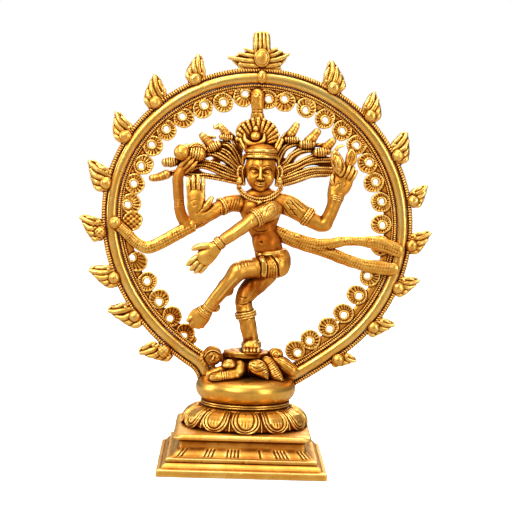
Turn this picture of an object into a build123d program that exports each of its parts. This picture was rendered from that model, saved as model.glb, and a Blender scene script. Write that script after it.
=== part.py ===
from build123d import *
import math
import os

# Brass nataraja statue, lengths in millimetres.
# +Z is up, the front faces -Y, and the origin is the middle of the flat underside of the plinth.

# ---- driving dimensions -------------------------------------------------------------------
slab_side = 77.0          # square foot of the plinth
slab_height = 3.1
step_side = 68.4          # bead moulding above the slab
step_top = 7.8
neck_side = 57.2          # straight neck of the plinth
neck_bottom = 11.4
neck_top = 15.4
block_side = 63.0         # square block under the lotus
block_top = 18.5
wall = 3.0                # casting wall of the hollow plinth and lotus
axis_x = 1.2              # the lotus and the seat stand a little right of the plinth's middle
lotus_radius = 29.7
lotus_top = 27.8
lotus_neck_radius = 19.6
collar_radius = 20.9
collar_top = 30.4
seat_radius = 23.4        # widest part of the cushion-shaped seat
seat_top = 41.0
seat_top_radius = 16.5
stud_d = 5.0
stud_hole_d = 5.4
halo_y = 2.0              # middle plane of the halo
rim_width = 5.2           # polished bar, measured radially
rim_depth = 5.0           # polished bar, front to back
cord_offset = 3.75        # outer ticked cord, outside the bar's centre line
cord_width = 2.3
rope_offset = -3.75       # inner twisted rope, inside the bar's centre line
rope_width = 2.3
band_depth = 3.0          # front to back depth of cord, rope and web
rosette_r = 4.5
rosette_hole_d = 2.8
boss_r = 2.8

os.makedirs("parts", exist_ok=True)
nodes = {}


def keep(name, shape):
    nodes[name] = shape
    return shape


# ---- shape helpers --------------------------------------------------------------------------
def unit(v):
    return v.normalized()


def limb(secs, caps=(True, True), ruled=False):
    """Loft through ellipses (x, y, z, half width in the XZ picture plane, half depth). Rounded ends where caps says so."""
    secs = [tuple(s) if len(s) == 5 else tuple(s) + (s[3],) for s in secs]
    p = [Vector(*s[:3]) for s in secs]
    rows = []
    for i, s in enumerate(secs):
        t = unit(p[min(i + 1, len(p) - 1)] - p[max(i - 1, 0)])
        rows.append((p[i], t, s[3], s[4]))
    if caps[0]:
        o, t, a, b = rows[0]
        rows.insert(0, (o - t * (0.55 * a), t, 0.6 * a, 0.6 * b))
    if caps[1]:
        o, t, a, b = rows[-1]
        rows.append((o + t * (0.55 * a), t, 0.6 * a, 0.6 * b))
    faces = []
    for o, t, a, b in rows:
        x_dir = t.cross(Vector(0, 1, 0))
        if x_dir.length < 0.2:
            x_dir = Vector(1, 0, 0)
        faces.append(Plane(origin=o, x_dir=unit(x_dir), z_dir=t) * Ellipse(a, b))
    solid = loft(faces, ruled=ruled)
    expected = sum(math.pi * (q[0] - w[0]).length * (q[2] * q[3] + w[2] * w[3]) / 2 for q, w in zip(rows, rows[1:]))
    if not 0.8 < solid.volume / expected < 1.25:
        print("limb volume", round(solid.volume, 1), "expected", round(expected, 1), secs[0][:3])
    return solid


def strokes(chains, y0, y1):
    """Flat relief: rounded strokes drawn in the XZ plane, as deep as y0 to y1. A chain is a list of (x, z, half width)."""
    flat = None
    for chain in chains:
        for i, (x, z, r) in enumerate(chain):
            piece = Pos(x, -z) * Circle(r)
            flat = piece if flat is None else flat + piece
            if i:
                px, pz, pr = chain[i - 1]
                dx, dz = x - px, z - pz
                length = math.hypot(dx, dz)
                nx, nz = -dz / length, dx / length
                pts = [(px + nx * pr, -(pz + nz * pr)), (x + nx * r, -(z + nz * r)), (x - nx * r, -(z - nz * r)), (px - nx * pr, -(pz - nz * pr))]
                flat = flat + make_face(Polyline(*pts, close=True))
    body = extrude(flat, amount=y1 - y0, dir=(0, 0, 1))
    return Pos(0, y0, 0) * (Rot(-90, 0, 0) * body)


def outline(points, y0, y1):
    """Flat relief with a straight-sided outline given as (x, z) points."""
    flat = make_face(Polyline(*[(x, -z) for x, z in points], close=True))
    return Pos(0, y0, 0) * (Rot(-90, 0, 0) * extrude(flat, amount=y1 - y0, dir=(0, 0, 1)))


def ball(x, y, z, r, sy=1.0, sz=1.0):
    s = Sphere(r)
    if sy != 1.0 or sz != 1.0:
        s = scale(s, (1.0, sy, sz))
    return Pos(x, y, z) * s


def cut(shape, *others):
    for o in others:
        shape = shape - o
    return shape


def solids_over(shape, least):
    """The shape without crumbs smaller than least cubic millimetres."""
    big = [s for s in shape.solids() if s.volume > least]
    return Compound(children=big) if len(big) > 1 else big[0]


def band(secs_at, length, r, ry, axis):
    """A short drum across a limb, at a point, along an axis."""
    pl = Plane(origin=secs_at, z_dir=axis, x_dir=unit(Vector(*axis).cross(Vector(0, 1, 0))))
    return extrude(pl * Ellipse(r, ry), amount=length / 2, both=True)


# ---- plinth ---------------------------------------------------------------------------------
def square_stage(side0, z0, side1, z1):
    return loft([Pos(0, 0, z0) * Rectangle(side0, side0), Pos(0, 0, z1) * Rectangle(side1, side1)], ruled=True)


slab = Pos(0, 0, slab_height / 2) * Box(slab_side, slab_side, slab_height)
slab = chamfer(slab.edges().group_by(Axis.Z)[-1], 0.5)
step = square_stage(74.6, slab_height, step_side, step_top - 2.0)
bead = Pos(0, 0, step_top - 1.0) * Box(step_side, step_side, 2.0)
bead = fillet(bead.edges().filter_by(Axis.Z, reverse=True), 0.9)
cavetto = square_stage(step_side - 2.4, step_top, neck_side, neck_bottom)
neck = Pos(0, 0, (neck_bottom + neck_top) / 2) * Box(neck_side, neck_side, neck_top - neck_bottom)
block = Pos(0, 0, (neck_top + block_top) / 2) * Box(block_side, block_side, block_top - neck_top)
block = fillet(block.edges().group_by(Axis.Z)[-1], 2.2)
plinth = slab + step + bead + cavetto + neck + block
inside_low = square_stage(slab_side - 4 * wall, -1.0, neck_side - 2 * wall, neck_bottom - 1.0)
inside_high = Pos(0, 0, (neck_bottom - 1.0 + block_top - wall) / 2) * Box(neck_side - 2 * wall, neck_side - 2 * wall, block_top - wall - neck_bottom + 1.0)
stud_hole = Pos(axis_x, 0, 15) * Cylinder(stud_hole_d / 2, 34)
plinth = plinth - inside_low - inside_high - stud_hole
keep("plinth", plinth)

# ---- lotus tier, collar and seat ----------------------------------------------------------------
def turned(profile):
    """Turned shape about the vertical axis through axis_x. The profile is (radius, height) points."""
    face = Plane.XZ * make_face(Polyline(*profile, close=True))
    return Pos(axis_x, 0, 0) * revolve(face, Axis.Z)


lotus = turned([
    (stud_hole_d / 2, lotus_top), (lotus_neck_radius, lotus_top), (lotus_neck_radius + 1.0, 26.9), (23.4, 26.3), (26.2, 25.0), (28.4, 22.9),
    (29.5, 20.8), (lotus_radius, 19.4), (29.1, block_top), (25.6, block_top), (25.2, 20.4), (23.6, 22.6), (20.8, 24.0), (17.5, 24.6), (stud_hole_d / 2, 24.6)])
keep("lotus_tier", lotus)
collar = turned([
    (stud_hole_d / 2, lotus_top), (19.8, lotus_top), (20.6, lotus_top + 0.4), (collar_radius, lotus_top + 1.3), (20.6, collar_top - 0.4),
    (19.8, collar_top), (stud_hole_d / 2, collar_top)])
keep("collar_ring", collar)
seat_face = Plane.XZ * make_face([
    Polyline((0, seat_top), (0, collar_top), (20.2, collar_top)),
    Spline((20.2, collar_top), (22.6, 33.0), (seat_radius, 35.9), (22.6, 38.6), (20.2, 40.3), (seat_top_radius, seat_top)),
    Line((seat_top_radius, seat_top), (0, seat_top)),
])
seat = Pos(axis_x, 0, 0) * revolve(seat_face, Axis.Z)
seat = seat - Pos(axis_x, 0, 34.0) * Cylinder(stud_d / 2, 8.0)
keep("drum_seat", seat)
stud = Pos(axis_x, 0, 24.25) * Cylinder(stud_d / 2, 27.5)
keep("fixing_stud", stud)
washer = Pos(axis_x, 0, block_top - wall - 0.5) * (Cylinder(6.0, 1.0) - Cylinder(stud_hole_d / 2, 1.0))
keep("fixing_washer", washer)
nut_prism = extrude(RegularPolygon(4.6, 6), amount=2.0, both=True)
nut = Pos(axis_x, 0, block_top - wall - 3.0) * (nut_prism - Cylinder(stud_d / 2, 4.0))
keep("fixing_nut", nut)

# ---- halo centre line: tangent arcs in the halo's middle plane ---------------------------------
top_mid = Vector(*(2.19, 2.00, 179.88))
left_shoulder = Vector(*(-49.78, 2.00, 154.49))
right_shoulder = Vector(*(61.87, 2.00, 147.41))
left_points = [Vector(*(-63.21, 2.00, 109.78)), Vector(*(-41.37, 2.00, 63.24)), Vector(*(-22.92, 2.00, 48.43)), Vector(*(-16.47, 2.00, 37.85))]
right_points = [Vector(*(68.77, 2.00, 90.42)), Vector(*(45.18, 2.00, 56.89)), Vector(*(19.16, 2.00, 39.33))]
top_arc = ThreePointArc(left_shoulder, top_mid, right_shoulder)


def run(start, tangent, points):
    edges = []
    for q in points:
        arc = TangentArc(start, q, tangent=tangent)
        edges.append(arc)
        start, tangent = q, arc % 1
    return edges


left_run = run(left_shoulder, -(top_arc % 0), left_points)
right_run = run(right_shoulder, top_arc % 1, right_points)
path = Wire([*left_run, top_arc, *right_run])


def swept(section):
    """Sweep a section given as (outward, y) points along the halo line."""
    t = path % 0
    out = t.cross(Vector(0, 1, 0))
    # Outward is away from the halo's middle.
    if out.dot((path @ 0) - Vector(4.3, halo_y, 111.8)) < 0:
        out = -out
    pl = Plane(origin=path @ 0, x_dir=out, z_dir=t)
    flip = 1 if pl.y_dir.dot(Vector(0, 1, 0)) > 0 else -1
    pts = [(u, flip * w) for u, w in section]
    return sweep(pl * make_face(Polyline(*pts, close=True)), path=path)


hw, hd = rim_width / 2, rim_depth / 2
rim_section = [(-hw, hd), (hw, hd), (hw, -0.35 * hd), (0.72 * hw, -0.74 * hd), (0.36 * hw, -0.95 * hd), (0, -hd), (-0.36 * hw, -0.95 * hd), (-0.72 * hw, -0.74 * hd), (-hw, -0.35 * hd)]
rim = cut(swept(rim_section), seat)
bd = band_depth / 2


def strip(offset, width):
    return [(offset - width / 2, bd), (offset + width / 2, bd), (offset + width / 2, -0.5 * bd), (offset + 0.25 * width, -bd), (offset - 0.25 * width, -bd), (offset - width / 2, -0.5 * bd)]


outer_cord = cut(swept(strip(cord_offset, cord_width)), seat)
inner_rope = cut(swept(strip(rope_offset, rope_width)), seat)
keep("halo_rim", rim)
keep("halo_outer_cord", outer_cord)
keep("halo_inner_rope", inner_rope)
inner_edge = -(rope_offset - rope_width / 2)
web_width = 3.2
halo_band = swept([(-inner_edge, 8), (10, 8), (10, -8), (-inner_edge, -8)])
web = cut(swept([(-inner_edge - web_width, 0.9), (-inner_edge, 0.9), (-inner_edge, -0.1), (-inner_edge - web_width, -0.1)]), seat)

# ---- pierced rosettes ---------------------------------------------------------------------------
# (disc x, z), (hole x, z) for each rosette
rosettes_l = [
    ((-27.75, 60.00), (-28.49, 58.80)), ((-34.12, 67.98), (-35.05, 66.93)), ((-40.37, 75.95), (-40.46, 74.57)), ((-46.14, 83.79), (-46.28, 84.06)),
    ((-50.94, 93.07), (-53.48, 94.98)), ((-53.70, 112.09), None), ((-54.48, 120.05), (-56.19, 119.54)), ((-53.09, 129.34), (-53.54, 129.47)), ((-49.27, 138.26), (-50.35, 137.62)),
    ((-45.02, 147.09), (-45.70, 147.71)), ((-38.97, 154.58), (-39.14, 155.06)), ((-31.16, 160.36), (-31.92, 161.23)), ((-22.45, 165.11), (-22.02, 166.61)),
    ((-13.09, 168.12), (-12.99, 168.15)), ((-4.00, 171.08), (-3.13, 172.59)),
]
rosettes_r = [
    ((7.17, 170.20), (7.80, 170.40)), ((15.59, 169.27), (15.22, 170.65)), ((25.49, 166.95), (25.02, 165.75)), ((34.27, 162.04), (34.43, 161.51)), ((42.40, 156.83), (42.55, 156.70)),
    ((49.49, 150.47), (49.25, 150.26)), ((54.76, 142.04), (55.61, 142.43)), ((58.05, 133.21), (58.78, 133.50)), ((61.70, 124.10), (62.00, 124.48)), ((62.10, 113.90), (62.72, 113.51)),
    ((62.13, 103.84), None), ((57.71, 89.18), (56.63, 89.64)), ((51.94, 80.44), (52.92, 80.04)), ((45.98, 71.62), (46.21, 70.83)), ((39.12, 65.02), (39.74, 64.19)),
    ((30.92, 58.82), (30.51, 58.25)), ((23.81, 53.45), (25.09, 52.40)),
]


def rosette_run(items):
    discs = None
    for (dx, dz), hole in items:
        d = Pos(dx, halo_y, dz) * (Rot(90, 0, 0) * Cylinder(rosette_r, 2.4))
        discs = d if discs is None else discs + d
    discs = discs + web
    discs = discs - halo_band
    for (dx, dz), hole in items:
        if hole:
            discs = discs - Pos(hole[0], halo_y, hole[1]) * (Rot(90, 0, 0) * Cylinder(rosette_hole_d / 2, 12))
    return discs


all_rosettes = rosette_run(rosettes_l + rosettes_r)
mid_x = (top_mid.X)
half = Pos(mid_x - 100, 0, 100) * Box(200, 60, 240)
rosettes_left_shape = all_rosettes & half
rosettes_right_shape = all_rosettes - half

# ---- flames ----------------------------------------------------------------------------------------
# boss x, z and tip x, z; the body leans towards the crest
flames = {
    "flame_left_1": ((-26.46, 178.53), (-24.90, 190.13)), "flame_left_2": ((-44.30, 167.28), (-45.18, 180.09)), "flame_left_3": ((-57.91, 151.12), (-62.66, 162.43)),
    "flame_left_4": ((-66.38, 129.15), (-74.62, 139.43)), "flame_left_5": ((-68.64, 106.42), (-78.07, 113.37)), "flame_left_6": ((-61.69, 85.09), (-73.52, 88.71)),
    "flame_left_7": ((-51.57, 67.44), (-64.23, 69.74)), "flame_left_8": ((-37.51, 51.52), (-49.24, 50.31)),
    "flame_right_1": ((37.95, 176.38), (36.56, 189.21)), "flame_right_2": ((55.50, 164.01), (56.82, 175.22)), "flame_right_3": ((68.81, 146.00), (72.66, 157.12)),
    "flame_right_4": ((76.71, 125.21), (82.92, 132.43)), "flame_right_5": ((76.78, 104.27), (85.53, 110.49)), "flame_right_6": ((71.20, 84.30), (80.83, 87.90)),
    "flame_right_7": ((60.29, 65.40), (70.14, 66.81)), "flame_right_8": ((44.12, 49.70), (52.54, 49.31)),
}
centre_x, centre_z = (4.27, 111.78)
for name, ((bx, bz), (tx, tz)) in flames.items():
    ox, oz = bx - centre_x, bz - centre_z
    n = math.hypot(ox, oz)
    ox, oz = ox / n, oz / n
    sx, sz = (oz, -ox) if name.startswith("flame_left") else (-oz, ox)
    reach = (tx - bx) * ox + (tz - bz) * oz
    lean = (tx - bx) * sx + (tz - bz) * sz
    shape = [(-3.2, -3.2), (-3.4, 0.2 * reach), (-2.4, 0.48 * reach), (0.05 * lean, 0.68 * reach), (0.55 * lean, 0.86 * reach), (lean, reach), (1.1 * lean, 0.78 * reach), (0.92 * lean, 0.48 * reach), (0.84 * lean, 0.16 * reach), (0.7 * lean, -3.2)]
    pts = [(bx + sx * s + ox * o, bz + sz * s + oz * o) for s, o in shape]
    leaf = outline(pts, halo_y - 1.4, halo_y + 1.4)
    boss = Pos(bx, halo_y - 1.4, bz) * scale(Sphere(boss_r), (1, 0.62, 1))
    solid = cut(leaf + boss, rim, outer_cord)
    keep(name, solids_over(solid, 5.0))

# Crest: fluted stub, two side leaves, an oval boss and the ledge under them.
crest = (
    outline([(-0.05, 192.75), (-0.29, 200.56), (1.53, 201.54), (6.61, 201.69), (7.58, 200.35), (8.27, 193.01), (8.04, 185.64), (0.63, 185.41)], halo_y - 1.5, halo_y + 1.7)
    + outline([(2.48, 185.47), (-5.84, 185.21), (-11.50, 188.72), (-4.21, 192.62), (2.26, 192.82)], halo_y - 1.2, halo_y + 1.6)
    + outline([(6.19, 185.58), (13.59, 185.81), (17.12, 191.45), (10.58, 193.08), (5.96, 192.94)], halo_y - 1.2, halo_y + 1.6)
    + outline([(-7.18, 183.32), (-6.80, 186.10), (13.13, 185.80), (13.67, 183.51)], halo_y - 1.4, halo_y + 1.7)
    + Pos(4.22, halo_y - 1.3, 189.20) * scale(Sphere(4.3), (0.9, 0.5, 1.04))
)
crest = cut(crest, rim, outer_cord)
keep("flame_crest", max(crest.solids(), key=lambda s: s.volume))
bead = Pos(4.49, halo_y - hd + 0.2, 180.46) * scale(Sphere(3.0), (0.72, 0.5, 1.0))
keep("crest_bead", solids_over(cut(bead, rim, outer_cord, nodes["flame_crest"]), 1.0))

# ---- dwarf under the dancer's foot --------------------------------------------------------------
pad = Pos(*(1.43, 1.00, 50.78)) * scale(Cylinder(11.6, 5.2), (1, 0.72, 1))
dwarf_body = pad + limb([(*(-5.44, -5.00, 45.29), 4.2, 4.4), (*(1.55, -2.00, 46.01), 5.4, 6.6), (*(9.01, -2.00, 46.22), 5.0, 6.2)])
dwarf_body = dwarf_body + Pos(axis_x - 1, 1, 43.5) * scale(Cylinder(13.0, 7.0), (1, 0.62, 1))
dwarf_head = ball(*(-15.33, -6.00, 50.30), 5.2, 0.9, 0.95)
dwarf_arms = limb([(*(-6.90, -10.00, 47.81), 3.0, 2.8), (*(-10.94, -13.00, 44.40), 2.4, 2.4), (*(-14.11, -12.50, 42.39), 2.2, 2.2)]) + limb([(*(0.97, -10.00, 47.11), 2.8, 2.6), (*(-1.29, -14.50, 44.43), 2.4, 2.2), (*(-7.20, -15.00, 42.48), 2.2, 2.0)])
dwarf_legs = limb([(*(3.80, -9.00, 45.65), 3.6, 3.4), (*(8.35, -12.50, 46.27), 4.0, 3.6), (*(13.53, -9.00, 45.46), 3.6, 3.4)]) + limb([(*(12.19, -6.00, 45.93), 3.6, 3.6), (*(16.84, -5.00, 46.86), 3.4, 3.6), (*(20.61, -6.00, 44.30), 3.0, 3.0)]) + ball(*(15.38, -1.00, 52.38), 3.3)
figure_floor = [seat, rim, inner_rope, outer_cord]
keep("dwarf_body", solids_over(cut(dwarf_body, seat, rim, inner_rope, all_rosettes), 5.0))
keep("dwarf_head", solids_over(cut(dwarf_head, seat, rim, inner_rope, all_rosettes, nodes["dwarf_body"]), 5.0))
keep("dwarf_legs", solids_over(cut(dwarf_legs, seat, rim, inner_rope, all_rosettes, nodes["dwarf_body"], nodes["dwarf_head"]), 2.0))
keep("dwarf_arms", solids_over(cut(dwarf_arms, seat, rim, inner_rope, nodes["dwarf_body"], nodes["dwarf_head"], nodes["dwarf_legs"]), 2.0))

# ---- dancer: trunk ----------------------------------------------------------------------------------
torso = limb([(*(9.60, -2.00, 102.39), 6.8, 5.4), (*(7.60, -2.00, 106.99), 6.0, 5.0), (*(6.05, -2.00, 112.05), 7.6, 5.8), (*(5.67, -2.00, 117.15), 9.0, 6.2), (*(5.77, -2.00, 121.33), 10.6, 5.8), (*(5.90, -1.50, 125.02), 8.0, 4.6)], caps=(False, True))
hips = limb([(*(9.60, -2.00, 102.39), 7.2, 5.8), (*(11.11, -2.00, 98.71), 8.4, 6.8), (*(11.26, -2.00, 94.05), 8.9, 7.2), (*(10.01, -2.00, 89.35), 7.6, 6.4), (*(7.32, -2.00, 86.01), 6.0, 5.6)], caps=(False, False))
neck_stub = limb([(*(5.68, -2.50, 124.13), 3.6, 3.4), (*(5.47, -3.50, 130.18), 3.4, 3.4)], caps=(False, False))
skull = ball(*(5.01, -4.00, 137.33), 7.3, 1.05, 1.42)
head = skull + neck_stub
keep("torso", solids_over(cut(torso, skull), 5.0))
keep("hips", solids_over(cut(hips, nodes["torso"]), 5.0))
keep("head", cut(head, torso))
diadem = ball(*(4.79, -4.00, 144.70), 8.0, 1.04, 0.42) + ball(*(4.70, -3.50, 147.69), 7.2, 0.9, 0.7)
keep("diadem", solids_over(cut(diadem, nodes["head"]), 2.0))
fan = outline([(-3.31, 146.92), (-7.24, 154.22), (-5.05, 158.45), (-0.49, 161.37), (6.93, 161.60), (11.19, 158.95), (13.16, 155.30), (11.55, 147.37)], -1.4, 2.6)
fan = fan + ball(*(2.03, -2.00, 152.66), 3.4, 0.8, 0.8)
keep("headdress_fan", solids_over(cut(fan, nodes["head"], nodes["diadem"]), 2.0))
finial = strokes([[(*(3.26, 159.63), 3.6), (*(2.88, 164.24), 3.0), (*(2.54, 167.92), 2.8), (*(2.46, 170.69), 3.2), (*(2.59, 173.92), 2.4)]], -1.6, 2.6)
keep("crown_finial", solids_over(cut(finial, nodes["headdress_fan"], rim, inner_rope), 2.0))
finial_final = nodes["crown_finial"]

# ---- raised and standing legs -----------------------------------------------------------------------
leg_raised_raw = limb([(*(8.90, -4.00, 93.68), 5.6, 5.4), (*(1.50, -6.50, 92.27), 5.2, 5.2), (*(-5.34, -8.50, 88.99), 4.4, 4.6), (*(-9.35, -8.20, 84.22), 3.6, 4.0), (*(-14.71, -6.50, 77.40), 3.4, 3.7), (*(-18.74, -4.50, 71.50), 2.8, 3.0), (*(-21.44, -3.20, 68.01), 2.6, 2.6)], caps=(True, False))
foot_raised = limb([(*(-15.98, -3.60, 71.95), 2.3, 2.4), (*(-20.99, -3.20, 68.49), 2.9, 2.4), (*(-25.57, -3.20, 66.02), 2.8, 1.8), (*(-28.32, -3.00, 64.51), 1.8, 1.3)])
leg_raised = leg_raised_raw + foot_raised
leg_standing = limb([(*(7.19, -2.00, 90.20), 5.6, 5.6), (*(2.23, -3.00, 84.55), 5.0, 5.2), (*(-1.06, -4.00, 78.02), 3.8, 4.2), (*(0.07, -3.60, 71.48), 4.4, 4.5), (*(1.90, -2.60, 64.87), 3.5, 3.8), (*(3.04, -2.00, 58.27), 3.2, 3.3), (*(3.36, -2.00, 55.46), 3.6, 3.6)], caps=(True, False))
foot_standing = limb([(*(3.64, 1.50, 55.26), 3.2, 2.6), (*(3.36, -2.50, 55.29), 4.4, 2.6), (*(3.07, -7.00, 55.39), 3.9, 2.0)])
leg_standing = leg_standing + foot_standing
keep("leg_standing", solids_over(cut(leg_standing, nodes["hips"], nodes["dwarf_body"]), 5.0))
keep("leg_raised", solids_over(cut(leg_raised, nodes["hips"], nodes["leg_standing"], all_rosettes, inner_rope), 5.0))

# ---- arms ---------------------------------------------------------------------------------------------
shoulder_l = (-4.01, -1.50, 122.87)
shoulder_r = (15.92, -1.50, 123.47)
arm_front_left_raw = limb([(*(14.08, -5.00, 119.86), 5.0, 4.6), (*(7.56, -9.50, 118.50), 4.8, 4.6), (*(0.76, -12.50, 114.31), 3.8, 3.9), (*(-5.95, -13.00, 109.10), 3.4, 3.5), (*(-13.58, -12.50, 103.80), 2.7, 2.7), (*(-18.50, -12.00, 99.49), 3.3, 2.2), (*(-22.96, -11.50, 94.72), 3.2, 1.7), (*(-26.08, -11.00, 90.90), 2.0, 1.2)])
thumb_l = limb([(*(-16.75, -12.00, 102.30), 1.6, 1.5), (*(-21.78, -12.00, 101.92), 1.3, 1.2), (*(-24.96, -12.00, 101.14), 1.0, 1.0)])
arm_front_left = arm_front_left_raw + thumb_l
arm_front_right_raw = limb([(*(-2.59, -2.00, 122.01), 4.6, 4.4), (*(-9.54, -5.00, 121.93), 4.2, 4.0), (*(-15.86, -8.50, 118.21), 3.6, 3.6), (*(-20.33, -10.00, 114.47), 3.1, 3.2)])
palm_r = limb([(*(-22.68, -10.00, 116.70), 3.2, 2.6), (*(-23.71, -10.50, 120.82), 4.2, 2.0), (*(-24.31, -10.50, 125.85), 4.4, 1.7), (*(-24.45, -10.50, 130.88), 4.0, 1.4), (*(-24.54, -10.50, 134.08), 3.4, 1.1)], caps=(True, True)) + limb([(*(-21.38, -10.50, 119.52), 1.6, 1.4), (*(-18.26, -11.00, 122.84), 1.4, 1.3), (*(-17.40, -11.00, 124.70), 1.1, 1.1)])
arm_front_right = arm_front_right_raw + palm_r
arm_rear_right = limb([(*(-2.56, 1.50, 121.86), 4.4, 3.8), (*(-10.90, 2.00, 120.19), 4.0, 3.6), (*(-20.03, 2.00, 113.86), 3.8, 3.4), (*(-26.93, 1.50, 111.35), 3.4, 3.0)]) + limb([(*(-28.36, 1.50, 112.24), 3.2, 3.0), (*(-32.24, 0.50, 119.16), 3.1, 2.8), (*(-33.35, -0.50, 127.06), 2.8, 2.6), (*(-31.66, -1.00, 133.61), 3.0, 2.6), (*(-30.42, -1.00, 139.20), 3.4, 2.6)])
arm_rear_left = limb([(*(15.05, -0.50, 122.47), 5.0, 4.4), (*(22.11, 0.00, 120.33), 4.8, 4.4), (*(28.29, 0.00, 116.33), 4.0, 4.0), (*(33.04, -0.50, 112.77), 3.5, 3.6)]) + limb([(*(34.44, -0.50, 112.81), 3.4, 3.5), (*(36.53, -1.50, 118.04), 3.3, 3.4), (*(39.53, -2.00, 124.66), 2.9, 2.9), (*(41.23, -2.00, 129.34), 3.6, 2.4), (*(42.93, -2.00, 134.03), 3.6, 1.8), (*(44.70, -1.50, 137.31), 2.2, 1.4)])
trunk = [nodes["torso"], nodes["head"], nodes["hips"]]
keep("arm_front_left", solids_over(cut(arm_front_left, *trunk), 5.0))
keep("arm_front_right", solids_over(cut(arm_front_right, *trunk, nodes["arm_front_left"]), 5.0))
keep("arm_rear_right", solids_over(cut(arm_rear_right, *trunk, nodes["arm_front_right"]), 5.0))
keep("arm_rear_left", solids_over(cut(arm_rear_left, *trunk, nodes["arm_front_left"], all_rosettes, inner_rope), 5.0))
body_parts = [nodes[n] for n in ("torso", "head", "hips", "leg_standing", "leg_raised", "arm_front_left", "arm_front_right", "arm_rear_right", "arm_rear_left", "diadem", "headdress_fan")]

# ---- hand drum and hand flame ---------------------------------------------------------------------------
hand_drum = ball(*(-31.45, -2.50, 144.51), 3.8) + limb([(*(-29.62, -1.50, 144.32), 2.4, 2.6), (*(-24.99, -1.50, 143.76), 3.4, 3.0)])
keep("hand_drum", solids_over(cut(hand_drum, *body_parts), 2.0))
hand_flame = outline([(42.27, 135.92), (38.94, 138.59), (36.94, 143.14), (38.15, 148.25), (41.87, 147.44), (43.89, 142.43), (43.59, 137.80)], -5.6, -2.2) + outline([(42.34, 137.71), (44.00, 143.32), (46.65, 147.09), (49.99, 144.42), (47.37, 139.72)], -3.0, 0.4)
keep("hand_flame", solids_over(cut(hand_flame, *body_parts, all_rosettes, inner_rope), 2.0))

# ---- hair -------------------------------------------------------------------------------------------------
def strand(points, r0=1.0, r1=1.0, tip=None):
    n = len(points)
    chain = [(x, z, r0 + (r1 - r0) * i / (n - 1)) for i, (x, z) in enumerate(points)]
    return chain


hair_l = strokes([
    strand([(-1.44, 146.52), (-6.58, 147.29), (-11.28, 149.47)], 1.8, 1.6) + [(*(-12.79, 153.59), 3.2), (*(-15.68, 157.20), 1.6)],
    strand([(-2.29, 143.71), (-9.31, 145.35), (-14.45, 146.59)], 1.7, 1.5) + [(*(-19.19, 150.15), 3.2), (*(-22.06, 153.31), 1.6)],
    strand([(-3.13, 140.90), (-11.11, 143.45), (-19.52, 145.51)], 1.6, 1.4) + [(*(-24.61, 144.66), 3.2)],
    strand([(-3.52, 138.11), (-11.93, 139.71), (-20.33, 141.31), (-27.73, 140.16)], 1.5, 1.4) + [(*(-36.07, 139.44), 2.8)],
    strand([(-3.45, 135.79), (-12.76, 136.43), (-20.71, 138.05), (-28.58, 137.35)], 1.4, 1.4) + [(*(-40.09, 133.75), 3.2), (*(-44.71, 132.69), 1.2)],
    strand([(-3.38, 133.46), (-12.68, 133.65), (-21.07, 134.33), (-28.50, 134.57)], 1.3, 1.1),
], 0.6, 3.0)
hair_r = strokes([
    strand([(10.62, 146.89), (15.24, 147.95), (18.42, 150.37)], 1.8, 1.6) + [(*(18.28, 154.53), 3.2), (*(20.93, 158.78), 1.6)],
    strand([(11.64, 144.13), (17.60, 146.63), (23.10, 149.12)], 1.7, 1.5) + [(*(27.21, 151.56), 3.2), (*(30.77, 156.30), 1.6)],
    strand([(12.66, 141.38), (19.55, 143.91), (26.91, 146.45)], 1.6, 1.4) + [(*(33.83, 148.05), 3.2), (*(37.43, 151.87), 1.6)],
    strand([(12.74, 138.60), (21.07, 140.24), (28.89, 142.80), (37.24, 143.51)], 1.5, 1.4),
    strand([(13.28, 136.29), (22.53, 137.96), (30.84, 140.07), (37.82, 140.28)], 1.4, 1.3),
    strand([(13.35, 133.97), (22.62, 135.18), (30.95, 136.82), (38.36, 137.97)], 1.3, 1.2),
    strand([(13.43, 131.64), (23.63, 132.88), (31.03, 134.50), (38.42, 136.12)], 1.3, 1.1),
], 0.6, 3.0)
hair_cut = body_parts + [nodes["hand_drum"], nodes["hand_flame"], all_rosettes, inner_rope, rim]
keep("hair_left", solids_over(cut(hair_l, *hair_cut), 2.0))
keep("hair_right", solids_over(cut(hair_r, *hair_cut), 2.0))

# ---- sashes -----------------------------------------------------------------------------------------------
sash_l = strokes([[(*(-27.79, 109.02), 2.9), (*(-33.29, 106.06), 2.9), (*(-40.64, 102.34), 3.0), (*(-46.39, 99.98), 3.0), (*(-50.86, 101.71), 2.8), (*(-56.11, 107.25), 2.8), (*(-60.86, 111.30), 3.0)]], -2.6, 1.6)
sash_r = strokes([
    [(*(14.13, 107.12), 3.6), (*(24.46, 104.16), 3.4), (*(34.73, 103.06), 3.6), (*(45.39, 104.78), 2.5), (*(57.95, 105.15), 3.2), (*(70.20, 101.77), 3.0)],
    [(*(34.77, 102.13), 3.0), (*(43.25, 99.11), 3.0), (*(52.71, 95.19), 2.7), (*(66.76, 93.73), 3.3)],
], -4.0, 0.2)
sash_cut = [n for n in body_parts] + [rim, inner_rope, all_rosettes]
keep("sash_left", solids_over(cut(sash_l, *sash_cut), 2.0))
keep("sash_right", solids_over(cut(sash_r, *sash_cut, nodes["hair_right"]), 2.0))

# ---- rosettes, after everything that stands in front of them ------------------------------------------------
in_front = [nodes["hand_flame"], nodes["crown_finial"]]
keep("rosettes_left", solids_over(cut(rosettes_left_shape, nodes["crown_finial"], seat, rim, inner_rope), 1.0))
keep("rosettes_right", solids_over(cut(rosettes_right_shape, nodes["crown_finial"], seat, rim, inner_rope), 1.0))

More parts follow.
